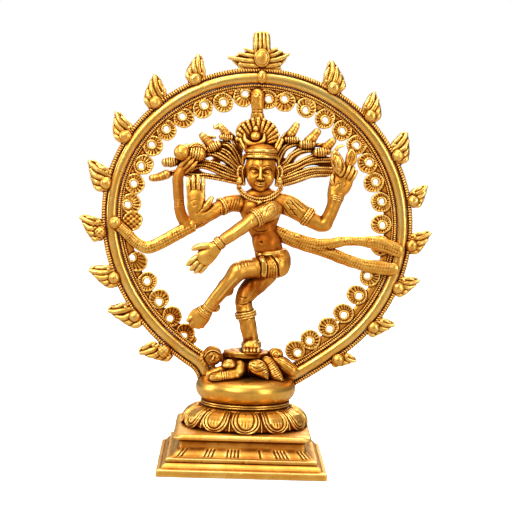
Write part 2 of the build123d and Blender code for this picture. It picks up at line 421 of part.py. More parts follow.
# ---- ornaments ------------------------------------------------------------------------------------------------
earrings = ball(*(-4.52, -4.00, 131.74), 1.9, 0.8, 1.5) + ball(*(14.18, -4.00, 132.30), 1.9, 0.8, 1.8)
keep("earrings", cut(earrings, *body_parts, nodes["hair_left"], nodes["hair_right"]))
belt = band((9.86, -2.00, 101.47), 2.4, 8.2, 6.9, (0.2, 0, 1))
keep("waist_belt", solids_over(cut(belt, nodes["torso"], nodes["hips"], nodes["arm_front_left"], nodes["sash_right"]), 1.0))
necklace = band((5.64, -2.00, 125.50), 1.6, 6.4, 5.2, (0, -0.45, 1))
keep("necklace", solids_over(cut(necklace, nodes["torso"], nodes["head"], nodes["arm_front_left"], nodes["arm_front_right"], nodes["arm_rear_left"], nodes["arm_rear_right"], nodes["hair_left"], nodes["hair_right"], nodes["earrings"]), 0.3))


def across(a, b):
    """Direction from a to b."""
    return tuple(q - p for p, q in zip(a, b))


arm_bands = [
    ((3.93, -11.30, 116.18), across((7.56, -9.50, 118.50), (0.76, -12.50, 114.31)), 1.6, 4.9, 4.9),
    ((-12.69, -6.80, 119.61), across((-9.54, -5.00, 121.93), (-15.87, -8.50, 118.67)), 1.5, 4.5, 4.5),
    ((28.29, 0.00, 116.56), across((22.11, 0.00, 120.33), (31.61, 0.00, 114.56)), 2.2, 4.8, 4.8),
]
wrist_bands = [
    ((-12.91, -12.60, 104.29), across((-5.95, -13.00, 109.10), (-18.50, -12.00, 99.49)), 1.8, 3.4, 3.4),
    ((39.52, -2.00, 125.12), across((36.53, -1.50, 118.04), (41.23, -2.00, 129.34)), 1.8, 3.5, 3.5),
]
ankle_bands = [
    ((-18.96, -4.40, 71.25), across((-14.71, -6.50, 77.40), (-21.44, -3.20, 68.01)), 1.6, 3.5, 3.7),
    ((0.31, -3.50, 71.01), across((-1.06, -4.00, 78.02), (1.90, -2.60, 64.87)), 2.2, 5.1, 5.2),
    ((3.03, -2.10, 58.75), across((1.90, -2.60, 64.87), (3.36, -2.00, 55.46)), 1.6, 3.9, 4.0),
]
armlets = [cut(band(Vector(*p), w, a, b, d), *[nodes[n] for n in ("arm_front_left", "arm_front_right", "arm_rear_left", "arm_rear_right", "torso", "head", "hair_left", "hair_right", "necklace", "earrings", "hips", "sash_right")]) for p, d, w, a, b in arm_bands]
bracelets = [cut(band(Vector(*p), w, a, b, d), *[nodes[n] for n in ("arm_front_left", "arm_front_right", "arm_rear_left", "arm_rear_right", "torso", "hair_left", "hair_right", "hand_flame", "rosettes_left", "rosettes_right")]) for p, d, w, a, b in wrist_bands]
anklets = [cut(band(Vector(*p), w, a, b, d), *[nodes[n] for n in ("leg_raised", "leg_standing", "hips", "rosettes_left", "dwarf_body")]) for p, d, w, a, b in ankle_bands]


def group(shapes, least):
    big = [s for shape in shapes for s in shape.solids() if s.volume > least]
    return Compound(children=big)


keep("armlets", group(armlets, 1.0))
keep("bracelets", group(bracelets, 1.0))
keep("anklets", group(anklets, 1.0))
keep("earrings", group([nodes["earrings"]], 0.5))

# The dancer's pieces that reach the dwarf, the rosettes and the flames keep their own volume.
for name, shape in nodes.items():
    export_step(shape, f"parts/{name}.step")
print(len(nodes), "nodes")
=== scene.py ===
import math
import bpy
import numpy as np
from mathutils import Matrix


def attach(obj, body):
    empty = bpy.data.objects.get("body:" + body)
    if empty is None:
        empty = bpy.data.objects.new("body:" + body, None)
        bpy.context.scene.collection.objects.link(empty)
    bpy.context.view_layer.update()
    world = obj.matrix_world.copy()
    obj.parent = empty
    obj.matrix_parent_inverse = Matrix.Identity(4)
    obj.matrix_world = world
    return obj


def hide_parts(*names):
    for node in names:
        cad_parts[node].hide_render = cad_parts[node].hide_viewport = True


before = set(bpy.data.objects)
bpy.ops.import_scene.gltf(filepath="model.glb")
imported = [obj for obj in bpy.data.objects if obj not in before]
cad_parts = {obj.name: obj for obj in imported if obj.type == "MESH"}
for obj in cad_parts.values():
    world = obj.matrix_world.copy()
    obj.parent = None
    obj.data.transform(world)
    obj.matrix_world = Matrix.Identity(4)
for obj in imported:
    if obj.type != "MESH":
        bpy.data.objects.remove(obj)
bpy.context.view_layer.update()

import openvdb
from mathutils import Matrix, Vector

H = 1.0
F4 = np.float32

# =============================================================================================
# Clay: a block of signed distances, in millimetres, that shapes are pressed into and cut from.
# =============================================================================================


def spline(pts, n=6):
    """Catmull-Rom through rows of numbers (x, y, z and whatever follows), n steps a span."""
    p = np.array(pts, float)
    if len(p) < 3 or n < 2:
        return p
    q = np.vstack([2 * p[0] - p[1], p, 2 * p[-1] - p[-2]])
    out = []
    for i in range(1, len(q) - 2):
        a, b, c, d = q[i - 1], q[i], q[i + 1], q[i + 2]
        for t in np.arange(n) / n:
            out.append(0.5 * (2 * b + (c - a) * t + (2 * a - 5 * b + 4 * c - d) * t * t + (3 * b - a - 3 * c + d) * t ** 3))
    out.append(q[-2])
    return np.array(out)


def smin(a, b, k):
    if k <= 0:
        return np.minimum(a, b)
    h = np.clip(0.5 + 0.5 * (b - a) / k, 0, 1)
    return b + (a - b) * h - k * h * (1 - h)


class Clay:
    def __init__(self, lo, hi, h):
        self.h = h = h * H
        self.lo = np.array(lo, float)
        n = np.ceil((np.array(hi, float) - self.lo) / h).astype(int) + 1
        self.n = n
        self.ax = [(self.lo[i] + h * np.arange(n[i])).astype(F4) for i in range(3)]
        self.f = np.full(n, 4.0, F4)

    def block(self, lo, hi):
        sl, co = [], []
        for i in range(3):
            a = int(max(0, math.floor((lo[i] - self.lo[i]) / self.h)))
            b = int(min(self.n[i], math.ceil((hi[i] - self.lo[i]) / self.h) + 1))
            if b <= a:
                return None, None
            sl.append(slice(a, b))
            shape = [1, 1, 1]
            shape[i] = b - a
            co.append(self.ax[i][a:b].reshape(shape))
        return tuple(sl), co

    def put(self, sl, d, k, op):
        f = self.f[sl]
        if op == "add":
            self.f[sl] = smin(f, d, k)
        elif op == "cut":
            self.f[sl] = -smin(-f, d, k)
        elif op == "and":
            self.f[sl] = -smin(-f, -d, k)

    def tube(self, pts, k=0.5, op="add", n=6, flat=None, reach=None):
        """A tube through rows (x, y, z, r) or (x, y, z, r, ry), where ry is the half depth along Y."""
        rows = [tuple(p) if len(p) == 5 else tuple(p) + (p[3],) for p in pts]
        if flat is not None:
            rows = [(x, y, z, r, r * flat) for x, y, z, r, _ in rows]
        p = spline(rows, n)
        m = (k if reach is None else reach) + 1.2
        rmax = max(p[:, 3].max(), p[:, 4].max())
        sl, _ = self.block(p[:, :3].min(0) - rmax - m - self.h, p[:, :3].max(0) + rmax + m + self.h)
        if sl is None:
            return self
        t = np.full(self.f[sl].shape, 9.0, F4)
        off = [s.start for s in sl]
        for a, b in zip(p, p[1:]):
            rm = max(a[3], b[3], a[4], b[4]) + m
            s2, (X, Y, Z) = self.block(np.minimum(a, b)[:3] - rm, np.maximum(a, b)[:3] + rm)
            if s2 is None:
                continue
            ab = b[:3] - a[:3]
            L2 = float(ab @ ab) + 1e-9
            u = np.clip(((X - a[0]) * ab[0] + (Y - a[1]) * ab[1] + (Z - a[2]) * ab[2]) / L2, 0, 1)
            dx, dy, dz = X - a[0] - u * ab[0], Y - a[1] - u * ab[1], Z - a[2] - u * ab[2]
            r = a[3] + (b[3] - a[3]) * u
            s = (a[4] + (b[4] - a[4]) * u) / r
            d = (np.sqrt(dx * dx + (dy / s) ** 2 + dz * dz) - r) * np.minimum(1.0, 0.5 + 0.5 * s)
            loc = tuple(slice(q.start - o, q.stop - o) for q, o in zip(s2, off))
            t[loc] = np.minimum(t[loc], d)
        self.put(sl, t, k, op)
        return self

    def ball(self, c, r, k=0.5, op="add", turn=0.0, tip=0.0, m=None):
        """An ellipsoid. turn is degrees about Y (clockwise as seen from the front), tip is degrees about X."""
        r = np.array(r if np.ndim(r) else (r, r, r), float)
        rm = r.max() + k + 1.0 if m is None else m
        sl, co = self.block(np.array(c) - rm, np.array(c) + rm)
        if sl is None:
            return self
        X, Y, Z = co[0] - c[0], co[1] - c[1], co[2] - c[2]
        if turn:
            ca, sa = math.cos(math.radians(turn)), math.sin(math.radians(turn))
            X, Z = X * ca - Z * sa, X * sa + Z * ca
        if tip:
            ca, sa = math.cos(math.radians(tip)), math.sin(math.radians(tip))
            Y, Z = Y * ca + Z * sa, -Y * sa + Z * ca
        k0 = np.sqrt((X / r[0]) ** 2 + (Y / r[1]) ** 2 + (Z / r[2]) ** 2)
        k1 = np.sqrt((X / r[0] ** 2) ** 2 + (Y / r[1] ** 2) ** 2 + (Z / r[2] ** 2) ** 2) + 1e-6
        self.put(sl, (k0 * (k0 - 1) / k1).astype(F4), k, op)
        return self

    def slab(self, poly, y0, y1, k=0.4, op="add", edge=0.3):
        """A relief with a closed (x, z) outline between y0 and y1, with rounded edges."""
        p = np.array(poly, float)
        lo = np.array([p[:, 0].min(), y0, p[:, 1].min()]) - k - 1.2
        hi = np.array([p[:, 0].max(), y1, p[:, 1].max()]) + k + 1.2
        sl, (X, Y, Z) = self.block(lo, hi)
        X2, Z2 = X[:, 0, :], Z[:, 0, :]
        d2 = poly_distance(p, X2, Z2)
        dy = np.abs(Y - (y0 + y1) / 2) - (y1 - y0) / 2
        a, b = d2[:, None, :] + edge, dy + edge
        d = np.minimum(np.maximum(a, b), 0) + np.sqrt(np.maximum(a, 0) ** 2 + np.maximum(b, 0) ** 2) - edge
        self.put(sl, d.astype(F4), k, op)
        return self

    def girdle(self, c, axis, w, amp, R, soft=1.0):
        """A groove (amp > 0) or a ridge (amp < 0) right round whatever is within R of c, across axis."""
        sl, (X, Y, Z) = self.block(np.array(c) - R - 1, np.array(c) + R + 1)
        if sl is None:
            return self
        n = np.array(axis, float)
        n /= np.linalg.norm(n)
        x, y, z = X - c[0], Y - c[1], Z - c[2]
        q = x * n[0] + y * n[1] + z * n[2]
        e = np.sqrt(np.maximum(x * x + y * y + z * z - q * q, 0))
        self.f[sl] += (amp * np.exp(-((q / w) ** 2)) / (1 + np.exp((e - R) / (0.25 * soft)))).astype(F4)
        return self

    def front(self, x, z, side=-1):
        """The Y of the first surface met from the front (side -1) or the back (+1) at each (x, z)."""
        x, z = np.atleast_1d(x).astype(float), np.atleast_1d(z).astype(float)
        i = np.clip((x - self.lo[0]) / self.h, 0, self.n[0] - 1.001)
        j = np.clip((z - self.lo[2]) / self.h, 0, self.n[2] - 1.001)
        i0, j0 = i.astype(int), j.astype(int)
        fi, fj = (i - i0)[:, None], (j - j0)[:, None]
        col = (self.f[i0, :, j0] * (1 - fi) * (1 - fj) + self.f[i0 + 1, :, j0] * fi * (1 - fj)
               + self.f[i0, :, j0 + 1] * (1 - fi) * fj + self.f[i0 + 1, :, j0 + 1] * fi * fj)
        if side > 0:
            col = col[:, ::-1]
        inside = col < 0
        hit = inside.any(1)
        a = np.maximum(inside.argmax(1), 1)
        rows = np.arange(len(x))
        v0, v1 = col[rows, a - 1], col[rows, a]
        t = np.clip(v0 / (v0 - v1 + 1e-9), 0, 1)
        y = self.lo[1] + self.h * (a - 1 + t)
        if side > 0:
            y = self.lo[1] + self.h * (self.n[1] - 1) - (y - self.lo[1])
        return y, hit

    def draw(self, path, r, op="cut", k=0.12, lift=0.0, side=-1, n=5, taper=False):
        """A line drawn on the surface along (x, z) points: a groove, or a raised wire with op add."""
        p = spline([(x, z, r) for x, z in path], n)
        # walk in short steps so that the line follows the form
        steps = [p[0]]
        for a, b in zip(p, p[1:]):
            m = max(1, int(np.hypot(*(b - a)[:2]) / 0.5))
            steps += [a + (b - a) * (i + 1) / m for i in range(m)]
        p = np.array(steps)
        y, hit = self.front(p[:, 0], p[:, 1], side)
        if taper:
            t = np.linspace(-1, 1, len(p))
            p[:, 2] = p[:, 2] * (1 - 0.75 * np.abs(t) ** 3)
        run = []
        for q, yy, ok in list(zip(p, y, hit)) + [(None, None, False)]:
            if ok:
                run.append((q[0], yy + side * lift, q[1], q[2]))
            else:
                if len(run) > 1:
                    self.tube(run, k=k, op=op, n=1)
                run = []
        return self

    def ripple(self, amp, scale, seed):
        """The slight unevenness of a hand-finished casting."""
        rng = np.random.default_rng(seed)
        X, Y, Z = self.ax[0][:, None, None], self.ax[1][None, :, None], self.ax[2][None, None, :]
        w = np.zeros(self.f.shape, F4)
        for _ in range(5):
            d = rng.normal(size=3)
            d = d / np.linalg.norm(d) * 2 * math.pi / scale * rng.uniform(0.6, 1.5)
            w += np.sin(X * d[0] + Y * d[1] + Z * d[2] + rng.uniform(0, 6.3)).astype(F4)
        self.f += w * (amp / 2.5)
        return self

    def keep_out(self, other, gap=0.0):
        """Cut another clay's body out of this one."""
        sl, (X, Y, Z) = self.block(other.lo, other.lo + other.h * (other.n - 1))
        if sl is None:
            return self
        self.put(sl, other.sample(X, Y, Z) - gap, 0.0, "cut")
        return self

    def sample(self, X, Y, Z):
        i = np.clip((X - self.lo[0]) / self.h, 0, self.n[0] - 1.001)
        j = np.clip((Y - self.lo[1]) / self.h, 0, self.n[1] - 1.001)
        k = np.clip((Z - self.lo[2]) / self.h, 0, self.n[2] - 1.001)
        i, j, k = np.broadcast_arrays(i, j, k)
        i0, j0, k0 = i.astype(int), j.astype(int), k.astype(int)
        a, b, c = i - i0, j - j0, k - k0
        f = self.f
        return ((f[i0, j0, k0] * (1 - a) + f[i0 + 1, j0, k0] * a) * (1 - b) + (f[i0, j0 + 1, k0] * (1 - a) + f[i0 + 1, j0 + 1, k0] * a) * b) * (1 - c) + (
            (f[i0, j0, k0 + 1] * (1 - a) + f[i0 + 1, j0, k0 + 1] * a) * (1 - b) + (f[i0, j0 + 1, k0 + 1] * (1 - a) + f[i0 + 1, j0 + 1, k0 + 1] * a) * b) * c

    def mesh(self):
        f = self.f.copy()
        # a closed border, so that the skin never runs out of the block
        for s in (0, -1):
            f[s], f[:, s], f[:, :, s] = np.maximum(f[s], 0.3), np.maximum(f[:, s], 0.3), np.maximum(f[:, :, s], 0.3)
        g = openvdb.FloatGrid()
        g.copyFromArray(np.clip(f, -3 * self.h, 3 * self.h).astype(F4))
        p, q = g.convertToQuads(isovalue=0.0)
        p = p * self.h + self.lo
        return largest(p.astype(float), q[:, ::-1].astype(np.int64))


def poly_distance(p, X, Z):
    """Signed distance to a closed polygon on a grid of points."""
    d = np.full(np.broadcast_shapes(X.shape, Z.shape), 1e9)
    s = np.ones(d.shape)
    n = len(p)
    for i in range(n):
        a, b = p[i], p[i - 1]
        ex, ez = b[0] - a[0], b[1] - a[1]
        wx, wz = X - a[0], Z - a[1]
        t = np.clip((wx * ex + wz * ez) / (ex * ex + ez * ez + 1e-12), 0, 1)
        d = np.minimum(d, (wx - ex * t) ** 2 + (wz - ez * t) ** 2)
        c1, c2, c3 = Z >= a[1], Z < b[1], ex * wz > ez * wx
        flip = (c1 & c2 & c3) | (~c1 & ~c2 & ~c3)
        s = np.where(flip, -s, s)
    return s * np.sqrt(d)


def smooth_loop(pts, n=5):
    """A closed Catmull-Rom loop through (x, z) points."""
    p = np.array(pts, float)
    out = []
    m = len(p)
    for i in range(m):
        a, b, c, d = p[i - 1], p[i], p[(i + 1) % m], p[(i + 2) % m]
        for t in np.arange(n) / n:
            out.append(0.5 * (2 * b + (c - a) * t + (2 * a - 5 * b + 4 * c - d) * t * t + (3 * b - a - 3 * c + d) * t ** 3))
    return np.array(out)


def largest(p, q, share=0.004):
    """Drops specks: shells smaller than a share of the mesh."""
    n = len(p)
    label = np.arange(n)
    e = np.vstack([q[:, [0, 1]], q[:, [1, 2]], q[:, [2, 3]], q[:, [3, 0]]])
    while True:
        m = np.minimum(label[e[:, 0]], label[e[:, 1]])
        new = label.copy()
        np.minimum.at(new, e[:, 0], m)
        np.minimum.at(new, e[:, 1], m)
        new = new[new]
        if (new == label).all():
            break
        label = new
    count = np.bincount(label, minlength=n)
    keep = count[label] >= max(40, share * n)
    if keep.all():
        return p, q
    idx = np.cumsum(keep) - 1
    q = q[keep[q[:, 0]]]
    return p[keep], idx[q]


def clay_for(pts, margin=4.0, h=0.28):
    a = np.array([np.array(p[:3], float) for p in pts])
    return Clay(a.min(0) - margin, a.max(0) + margin, h)


def lerp(a, b, t):
    return tuple(np.array(a, float) + (np.array(b, float) - np.array(a, float)) * t)


def sub(a, b):
    return tuple(np.array(a, float) - np.array(b, float))


made = []      # every piece: name, points in mm, faces, what it stands for, slot, material name


def piece(name, mesh, replaces, slot, look, relax=1):
    p, q = mesh
    made.append(dict(name=name, p=np.asarray(p, float), q=q, replaces=replaces, slot=slot, look=look, relax=relax))


# =============================================================================================
# The halo's line: tangent arcs in its own plane, the same as the bar's in the frame.
# =============================================================================================
RING_Y = 2.0
C0 = np.array((4.27, 111.78))


def arc_points(p, t, q, step=0.25):
    """Points along the arc from p, leaving along t, to q, and its end tangent."""
    t = t / np.linalg.norm(t)
    n = np.array([-t[1], t[0]])
    d = q - p
    k = 2 * (d @ n) / (d @ d)
    R = 1 / k
    c = p + n * R
    a0, a1 = math.atan2(p[1] - c[1], p[0] - c[0]), math.atan2(q[1] - c[1], q[0] - c[0])
    s = 1 if R > 0 else -1
    da = a1 - a0
    while s * da < 0:
        da += s * 2 * math.pi
    while s * da > 2 * math.pi:
        da -= s * 2 * math.pi
    m = max(2, int(abs(R * da) / step))
    a = a0 + da * np.arange(1, m + 1) / m
    pts = c + abs(R) * np.stack([np.cos(a), np.sin(a)], 1)
    end = s * np.array([-math.sin(a[-1]), math.cos(a[-1])])
    return pts, end


def halo_line(step=0.25):
    a, b, c = np.array((-49.78, 154.49)), np.array((2.19, 179.88)), np.array((61.87, 147.41))
    A = 2 * np.array([b - a, c - a])
    o = np.linalg.solve(A, np.array([b @ b - a @ a, c @ c - a @ a]))
    R = np.linalg.norm(a - o)
    a0, a1 = math.atan2(*(a - o)[::-1]), math.atan2(*(c - o)[::-1])
    m = int(R * abs(a1 - a0) / step)
    ang = a0 + (a1 - a0) * np.arange(m + 1) / m
    top = o + R * np.stack([np.cos(ang), np.sin(ang)], 1)
    ta = np.array([-(a - o)[1], (a - o)[0]])
    tc = -np.array([-(c - o)[1], (c - o)[0]])
    left, p, t = [], a, ta
    for q in ((-63.21, 109.78), (-41.37, 63.24), (-22.92, 48.43), (-16.47, 37.85)):
        pts, t = arc_points(p, t, np.array(q), step)
        left.append(pts)
        p = np.array(q)
    right, p, t = [], c, tc
    for q in ((68.77, 90.42), (45.18, 56.89), (19.16, 39.33)):
        pts, t = arc_points(p, t, np.array(q), step)
        right.append(pts)
        p = np.array(q)
    return np.vstack([np.vstack(left)[::-1], top, np.vstack(right)])


LINE = halo_line(0.2)
seg = np.linalg.norm(np.diff(LINE, axis=0), axis=1)
LINE_S = np.concatenate([[0], np.cumsum(seg)])
LENGTH = LINE_S[-1]


def at(s):
    """Point, along-line direction and outward direction of the halo's line at arc length s."""
    s = np.clip(s, 0, LENGTH)
    x, z = np.interp(s, LINE_S, LINE[:, 0]), np.interp(s, LINE_S, LINE[:, 1])
    e = 0.5
    x1, z1 = np.interp(np.clip(s + e, 0, LENGTH), LINE_S, LINE[:, 0]), np.interp(np.clip(s + e, 0, LENGTH), LINE_S, LINE[:, 1])
    x0, z0 = np.interp(np.clip(s - e, 0, LENGTH), LINE_S, LINE[:, 0]), np.interp(np.clip(s - e, 0, LENGTH), LINE_S, LINE[:, 1])
    tx, tz = x1 - x0, z1 - z0
    n = np.hypot(tx, tz)
    tx, tz = tx / n, tz / n
    # the line runs from the left foot over the top to the right foot, so outward is to its left
    return np.stack([x, z], -1), np.stack([tx, tz], -1), np.stack([-tz, tx], -1)


def s_of(point):
    """Arc length of the halo's line nearest to an (x, z) point."""
    return LINE_S[np.hypot(*(LINE - np.array(point)).T).argmin()]


def sweep_grid(S, ring, closed_ends=True):
    """Quads of a grid of rings: stations by m points round, with capped ends. The argument S is not used."""
    n, m = ring.shape[:2]
    p = ring.reshape(-1, 3)
    i, j = np.meshgrid(np.arange(n - 1), np.arange(m), indexing="ij")
    a, b = i * m + j, i * m + (j + 1) % m
    q = np.stack([a, b, b + m, a + m], -1).reshape(-1, 4)
    if closed_ends:
        c0, c1 = ring[0].mean(0), ring[-1].mean(0)
        p = np.vstack([p, c0, c1])
        k0, k1 = n * m, n * m + 1
        j = np.arange(0, m - 1, 2)
        e0 = np.stack([np.full(len(j), k0), (j + 2) % m, j + 1, j], -1)
        b1 = (n - 1) * m
        e1 = np.stack([np.full(len(j), k1), b1 + j, b1 + j + 1, b1 + (j + 2) % m], -1)
        q = np.vstack([q, e0, e1])
    return p, q


def superellipse(m, a, b, e=2.0):
    t = 2 * math.pi * np.arange(m) / m
    c, s = np.cos(t), np.sin(t)
    return a * np.sign(c) * np.abs(c) ** (2 / e), b * np.sign(s) * np.abs(s) ** (2 / e)


# =============================================================================================
# Plinth, lotus, collar and seat
# =============================================================================================
AX = 1.2


def rounded_square_ring(half, r, n_side):
    """Points round a square of half side half with corner radius r, n_side points a quarter."""
    pts = []
    r = min(r, half)
    flat = half - r
    n_arc = max(3, n_side // 8)
    n_flat = n_side - n_arc
    for k in range(4):
        a0 = -math.pi / 2 + k * math.pi / 2
        # flat part of this side, from one corner to the next
        tx, tz = -math.sin(a0), math.cos(a0)
        nx, nz = math.cos(a0), math.sin(a0)
        for i in range(n_flat):
            s = -flat + 2 * flat * i / (n_flat - 1)
            pts.append((nx * half + tx * s, nz * half + tz * s))
        for i in range(1, n_arc + 1):
            a = a0 + (math.pi / 2) * i / (n_arc + 1)
            cx, cy = (nx + tx) * flat, (nz + tz) * flat
            pts.append((cx + r * math.cos(a), cy + r * math.sin(a)))
    return np.array(pts)


def fillet_profile(pts, n=4):
    """Rounds the corners of an open polyline of (a, b, r)."""
    out = [np.array(pts[0][:2], float)]
    for i in range(1, len(pts) - 1):
        p, r = np.array(pts[i][:2], float), pts[i][2]
        a, b = np.array(pts[i - 1][:2], float), np.array(pts[i + 1][:2], float)
        da, db = a - p, b - p
        la, lb = np.linalg.norm(da), np.linalg.norm(db)
        if r <= 0:
            out.append(p)
            continue
        c = min(r, 0.45 * la, 0.45 * lb)
        pa, pb = p + da / la * c, p + db / lb * c
        for t in np.linspace(0, 1, n + 1):
            out.append((1 - t) ** 2 * pa + 2 * t * (1 - t) * p + t * t * pb)
    out.append(np.array(pts[-1][:2], float))
    return np.array(out)


def refine(pts, step):
    out = [pts[0]]
    for a, b in zip(pts, pts[1:]):
        m = max(1, int(np.linalg.norm(b - a) / step))
        out += [a + (b - a) * (i + 1) / m for i in range(m)]
    return np.array(out)


def build_plinth():
    step = 0.55
    # (half side, height, rounding, corner radius) from the underside's rim up over the block
    prof = [
        (36.0, 0.0, 0), (38.5, 0.0, 0.35), (38.4, 3.1, 0.55), (37.2, 3.35, 0.25), (36.5, 3.55, 0.3), (35.6, 4.9, 0.6), (34.5, 5.72, 0.3), (33.85, 5.85, 0.15),
        (34.2, 6.1, 0.5), (34.2, 7.7, 0.55), (33.3, 7.85, 0.3), (32.7, 8.05, 0.3), (31.6, 8.7, 0.7), (30.2, 10.1, 0.9), (28.75, 11.5, 1.0), (28.5, 13.2, 0.8), (28.6, 15.2, 0.4),
        (29.6, 15.45, 0.4), (31.0, 15.6, 0.6), (31.48, 16.5, 1.0), (30.9, 17.8, 1.4), (29.0, 18.44, 1.0), (24.0, 18.5, 0),
    ]
    prof = refine(fillet_profile(prof, 5), step)
    n_side = 138
    rows = []
    for half, z in prof:
        r = 0.9 if half > 33 else 1.3
        if z > 15.3:
            r = 3.2 + 2.2 * max(0, (z - 16.4) / 2.1)
        rows.append(np.column_stack([rounded_square_ring(half, r, n_side), np.full(4 * n_side, z)]))
    # from the block's top in to the stud hole
    last = rows[-1]
    for f in (0.86, 0.7, 0.5, 0.32, 0.18):
        ring = last.copy()
        a = np.arctan2(ring[:, 1], ring[:, 0])
        t = (f - 0.18) / 0.82
        c = np.column_stack([2.7 * np.cos(a) + AX, 2.7 * np.sin(a)])
        ring[:, :2] = ring[:, :2] * t + c * (1 - t)
        rows.append(ring)
    # down the hole, then the hollow underside
    for z in (17.4, 15.6):
        ring = rows[-1].copy()
        ring[:, 2] = z
        rows.append(ring)
    inner = [(9.0, 15.55), (25.6, 15.5), (25.6, 10.4), (31.8, 0.25), (32.4, 0.0)]
    inner = refine(fillet_profile([(a, b, 0.5) for a, b in inner], 3), 1.6)
    for half, z in inner:
        r = 1.2
        ring = rounded_square_ring(half, r, n_side)
        rows.append(np.column_stack([ring, np.full(len(ring), z)]))
    g = np.array(rows)
    p, q = sweep_grid(None, g, closed_ends=False)
    # the ring of the underside joins the last row to the first
    n, m = g.shape[:2]
    j = np.arange(m)
    b0 = (n - 1) * m
    q = np.vstack([q, np.stack([b0 + j, b0 + (j + 1) % m, (j + 1) % m, j], -1)])
    # worn and slightly uneven faces, dents along the slab's edge
    x, y, z = p.T
    rng = np.random.default_rng(5)
    side = np.maximum(np.abs(x), np.abs(y))
    outer = (side > 23) & (np.arange(len(p)) < len(prof) * m)
    nx = np.where(np.abs(x) >= np.abs(y) - 0.3, np.sign(x), 0) * outer
    ny = np.where(np.abs(y) > np.abs(x) - 0.3, np.sign(y), 0) * outer
    w = np.zeros(len(p))
    for _ in range(7):
        d = rng.normal(size=3) * 0.16
        w += np.sin(x * d[0] + y * d[1] + z * d[2] * 2 + rng.uniform(0, 6))
    w *= 0.035
    for _ in range(90):
        a, h = rng.uniform(-37, 37), rng.choice([3.0, 3.1, 7.6, 6.1, 16.0, 17.6])
        k = rng.integers(4)
        cx, cy = [(a, -38.4), (38.4, a), (a, 38.4), (-38.4, a)][k]
        lim = 34.5 if h > 4 else 38
        lim = 30.5 if h > 12 else lim
        cx, cy = np.clip(cx, -lim, lim), np.clip(cy, -lim, lim)
        s = rng.uniform(0.35, 1.1)
        d2 = (x - cx) ** 2 + (y - cy) ** 2 + ((z - h) * 1.3) ** 2
        w -= rng.uniform(0.05, 0.2) * np.exp(-d2 / (s * s)) * outer
    # strokes cut into the flare, in groups, leaning outward with it
    strokes = []
    groups = [(-26.47, 2), (-14.30, 3), (-3.93, 4), (8.07, 1), (17.28, 4), (27.52, 3)]
    for gx, count in groups:
        for i in range(count):
            strokes.append((gx + (i - (count - 1) / 2) * 1.55, 0.42 if gx < 14 else 0.55))
    flare = outer & (z > 7.9) & (z < 12.0)
    for face in range(4):
        on = flare & ((ny < 0) if face == 0 else (nx > 0) if face == 1 else (ny > 0) if face == 2 else (nx < 0))
        along = x if face in (0, 2) else y
        for sx, depth in strokes:
            cx = sx * (side / 30.0) if face == 0 else (sx * (1 if face != 2 else -1)) * (side / 30.0)
            fade = np.clip((z - 8.1) / 0.6, 0, 1) * np.clip((11.6 - z) / 0.8, 0, 1)
            w -= np.where(on, depth * np.exp(-(((along - cx) / 0.42) ** 2)) * fade, 0)
    p[:, 0] += nx * np.minimum(w, 0.05) * np.where(side > 38.3, 0.0 + (w < 0), 1)
    p[:, 1] += ny * np.minimum(w, 0.05) * np.where(side > 38.3, 0.0 + (w < 0), 1)
    low = outer & (z < 0.02)
    p[low, 2] = 0.0
    return p, q


piece("Plinth", build_plinth(), "plinth", "base_brass", "base", relax=0)


def petal_profile(t):
    """Lotus radius and height down from the neck (t 0) to the lower rim (t 1)."""
    pts = np.array([(19.9, 27.75), (20.7, 27.4), (22.6, 26.95), (24.8, 26.2), (26.8, 24.9), (28.3, 23.1), (29.1, 21.2), (29.3, 19.7), (28.9, 18.75), (28.0, 18.55)])
    s = np.concatenate([[0], np.cumsum(np.hypot(*np.diff(pts, axis=0).T))])
    s /= s[-1]
    return np.interp(t, s, pts[:, 0]), np.interp(t, s, pts[:, 1])


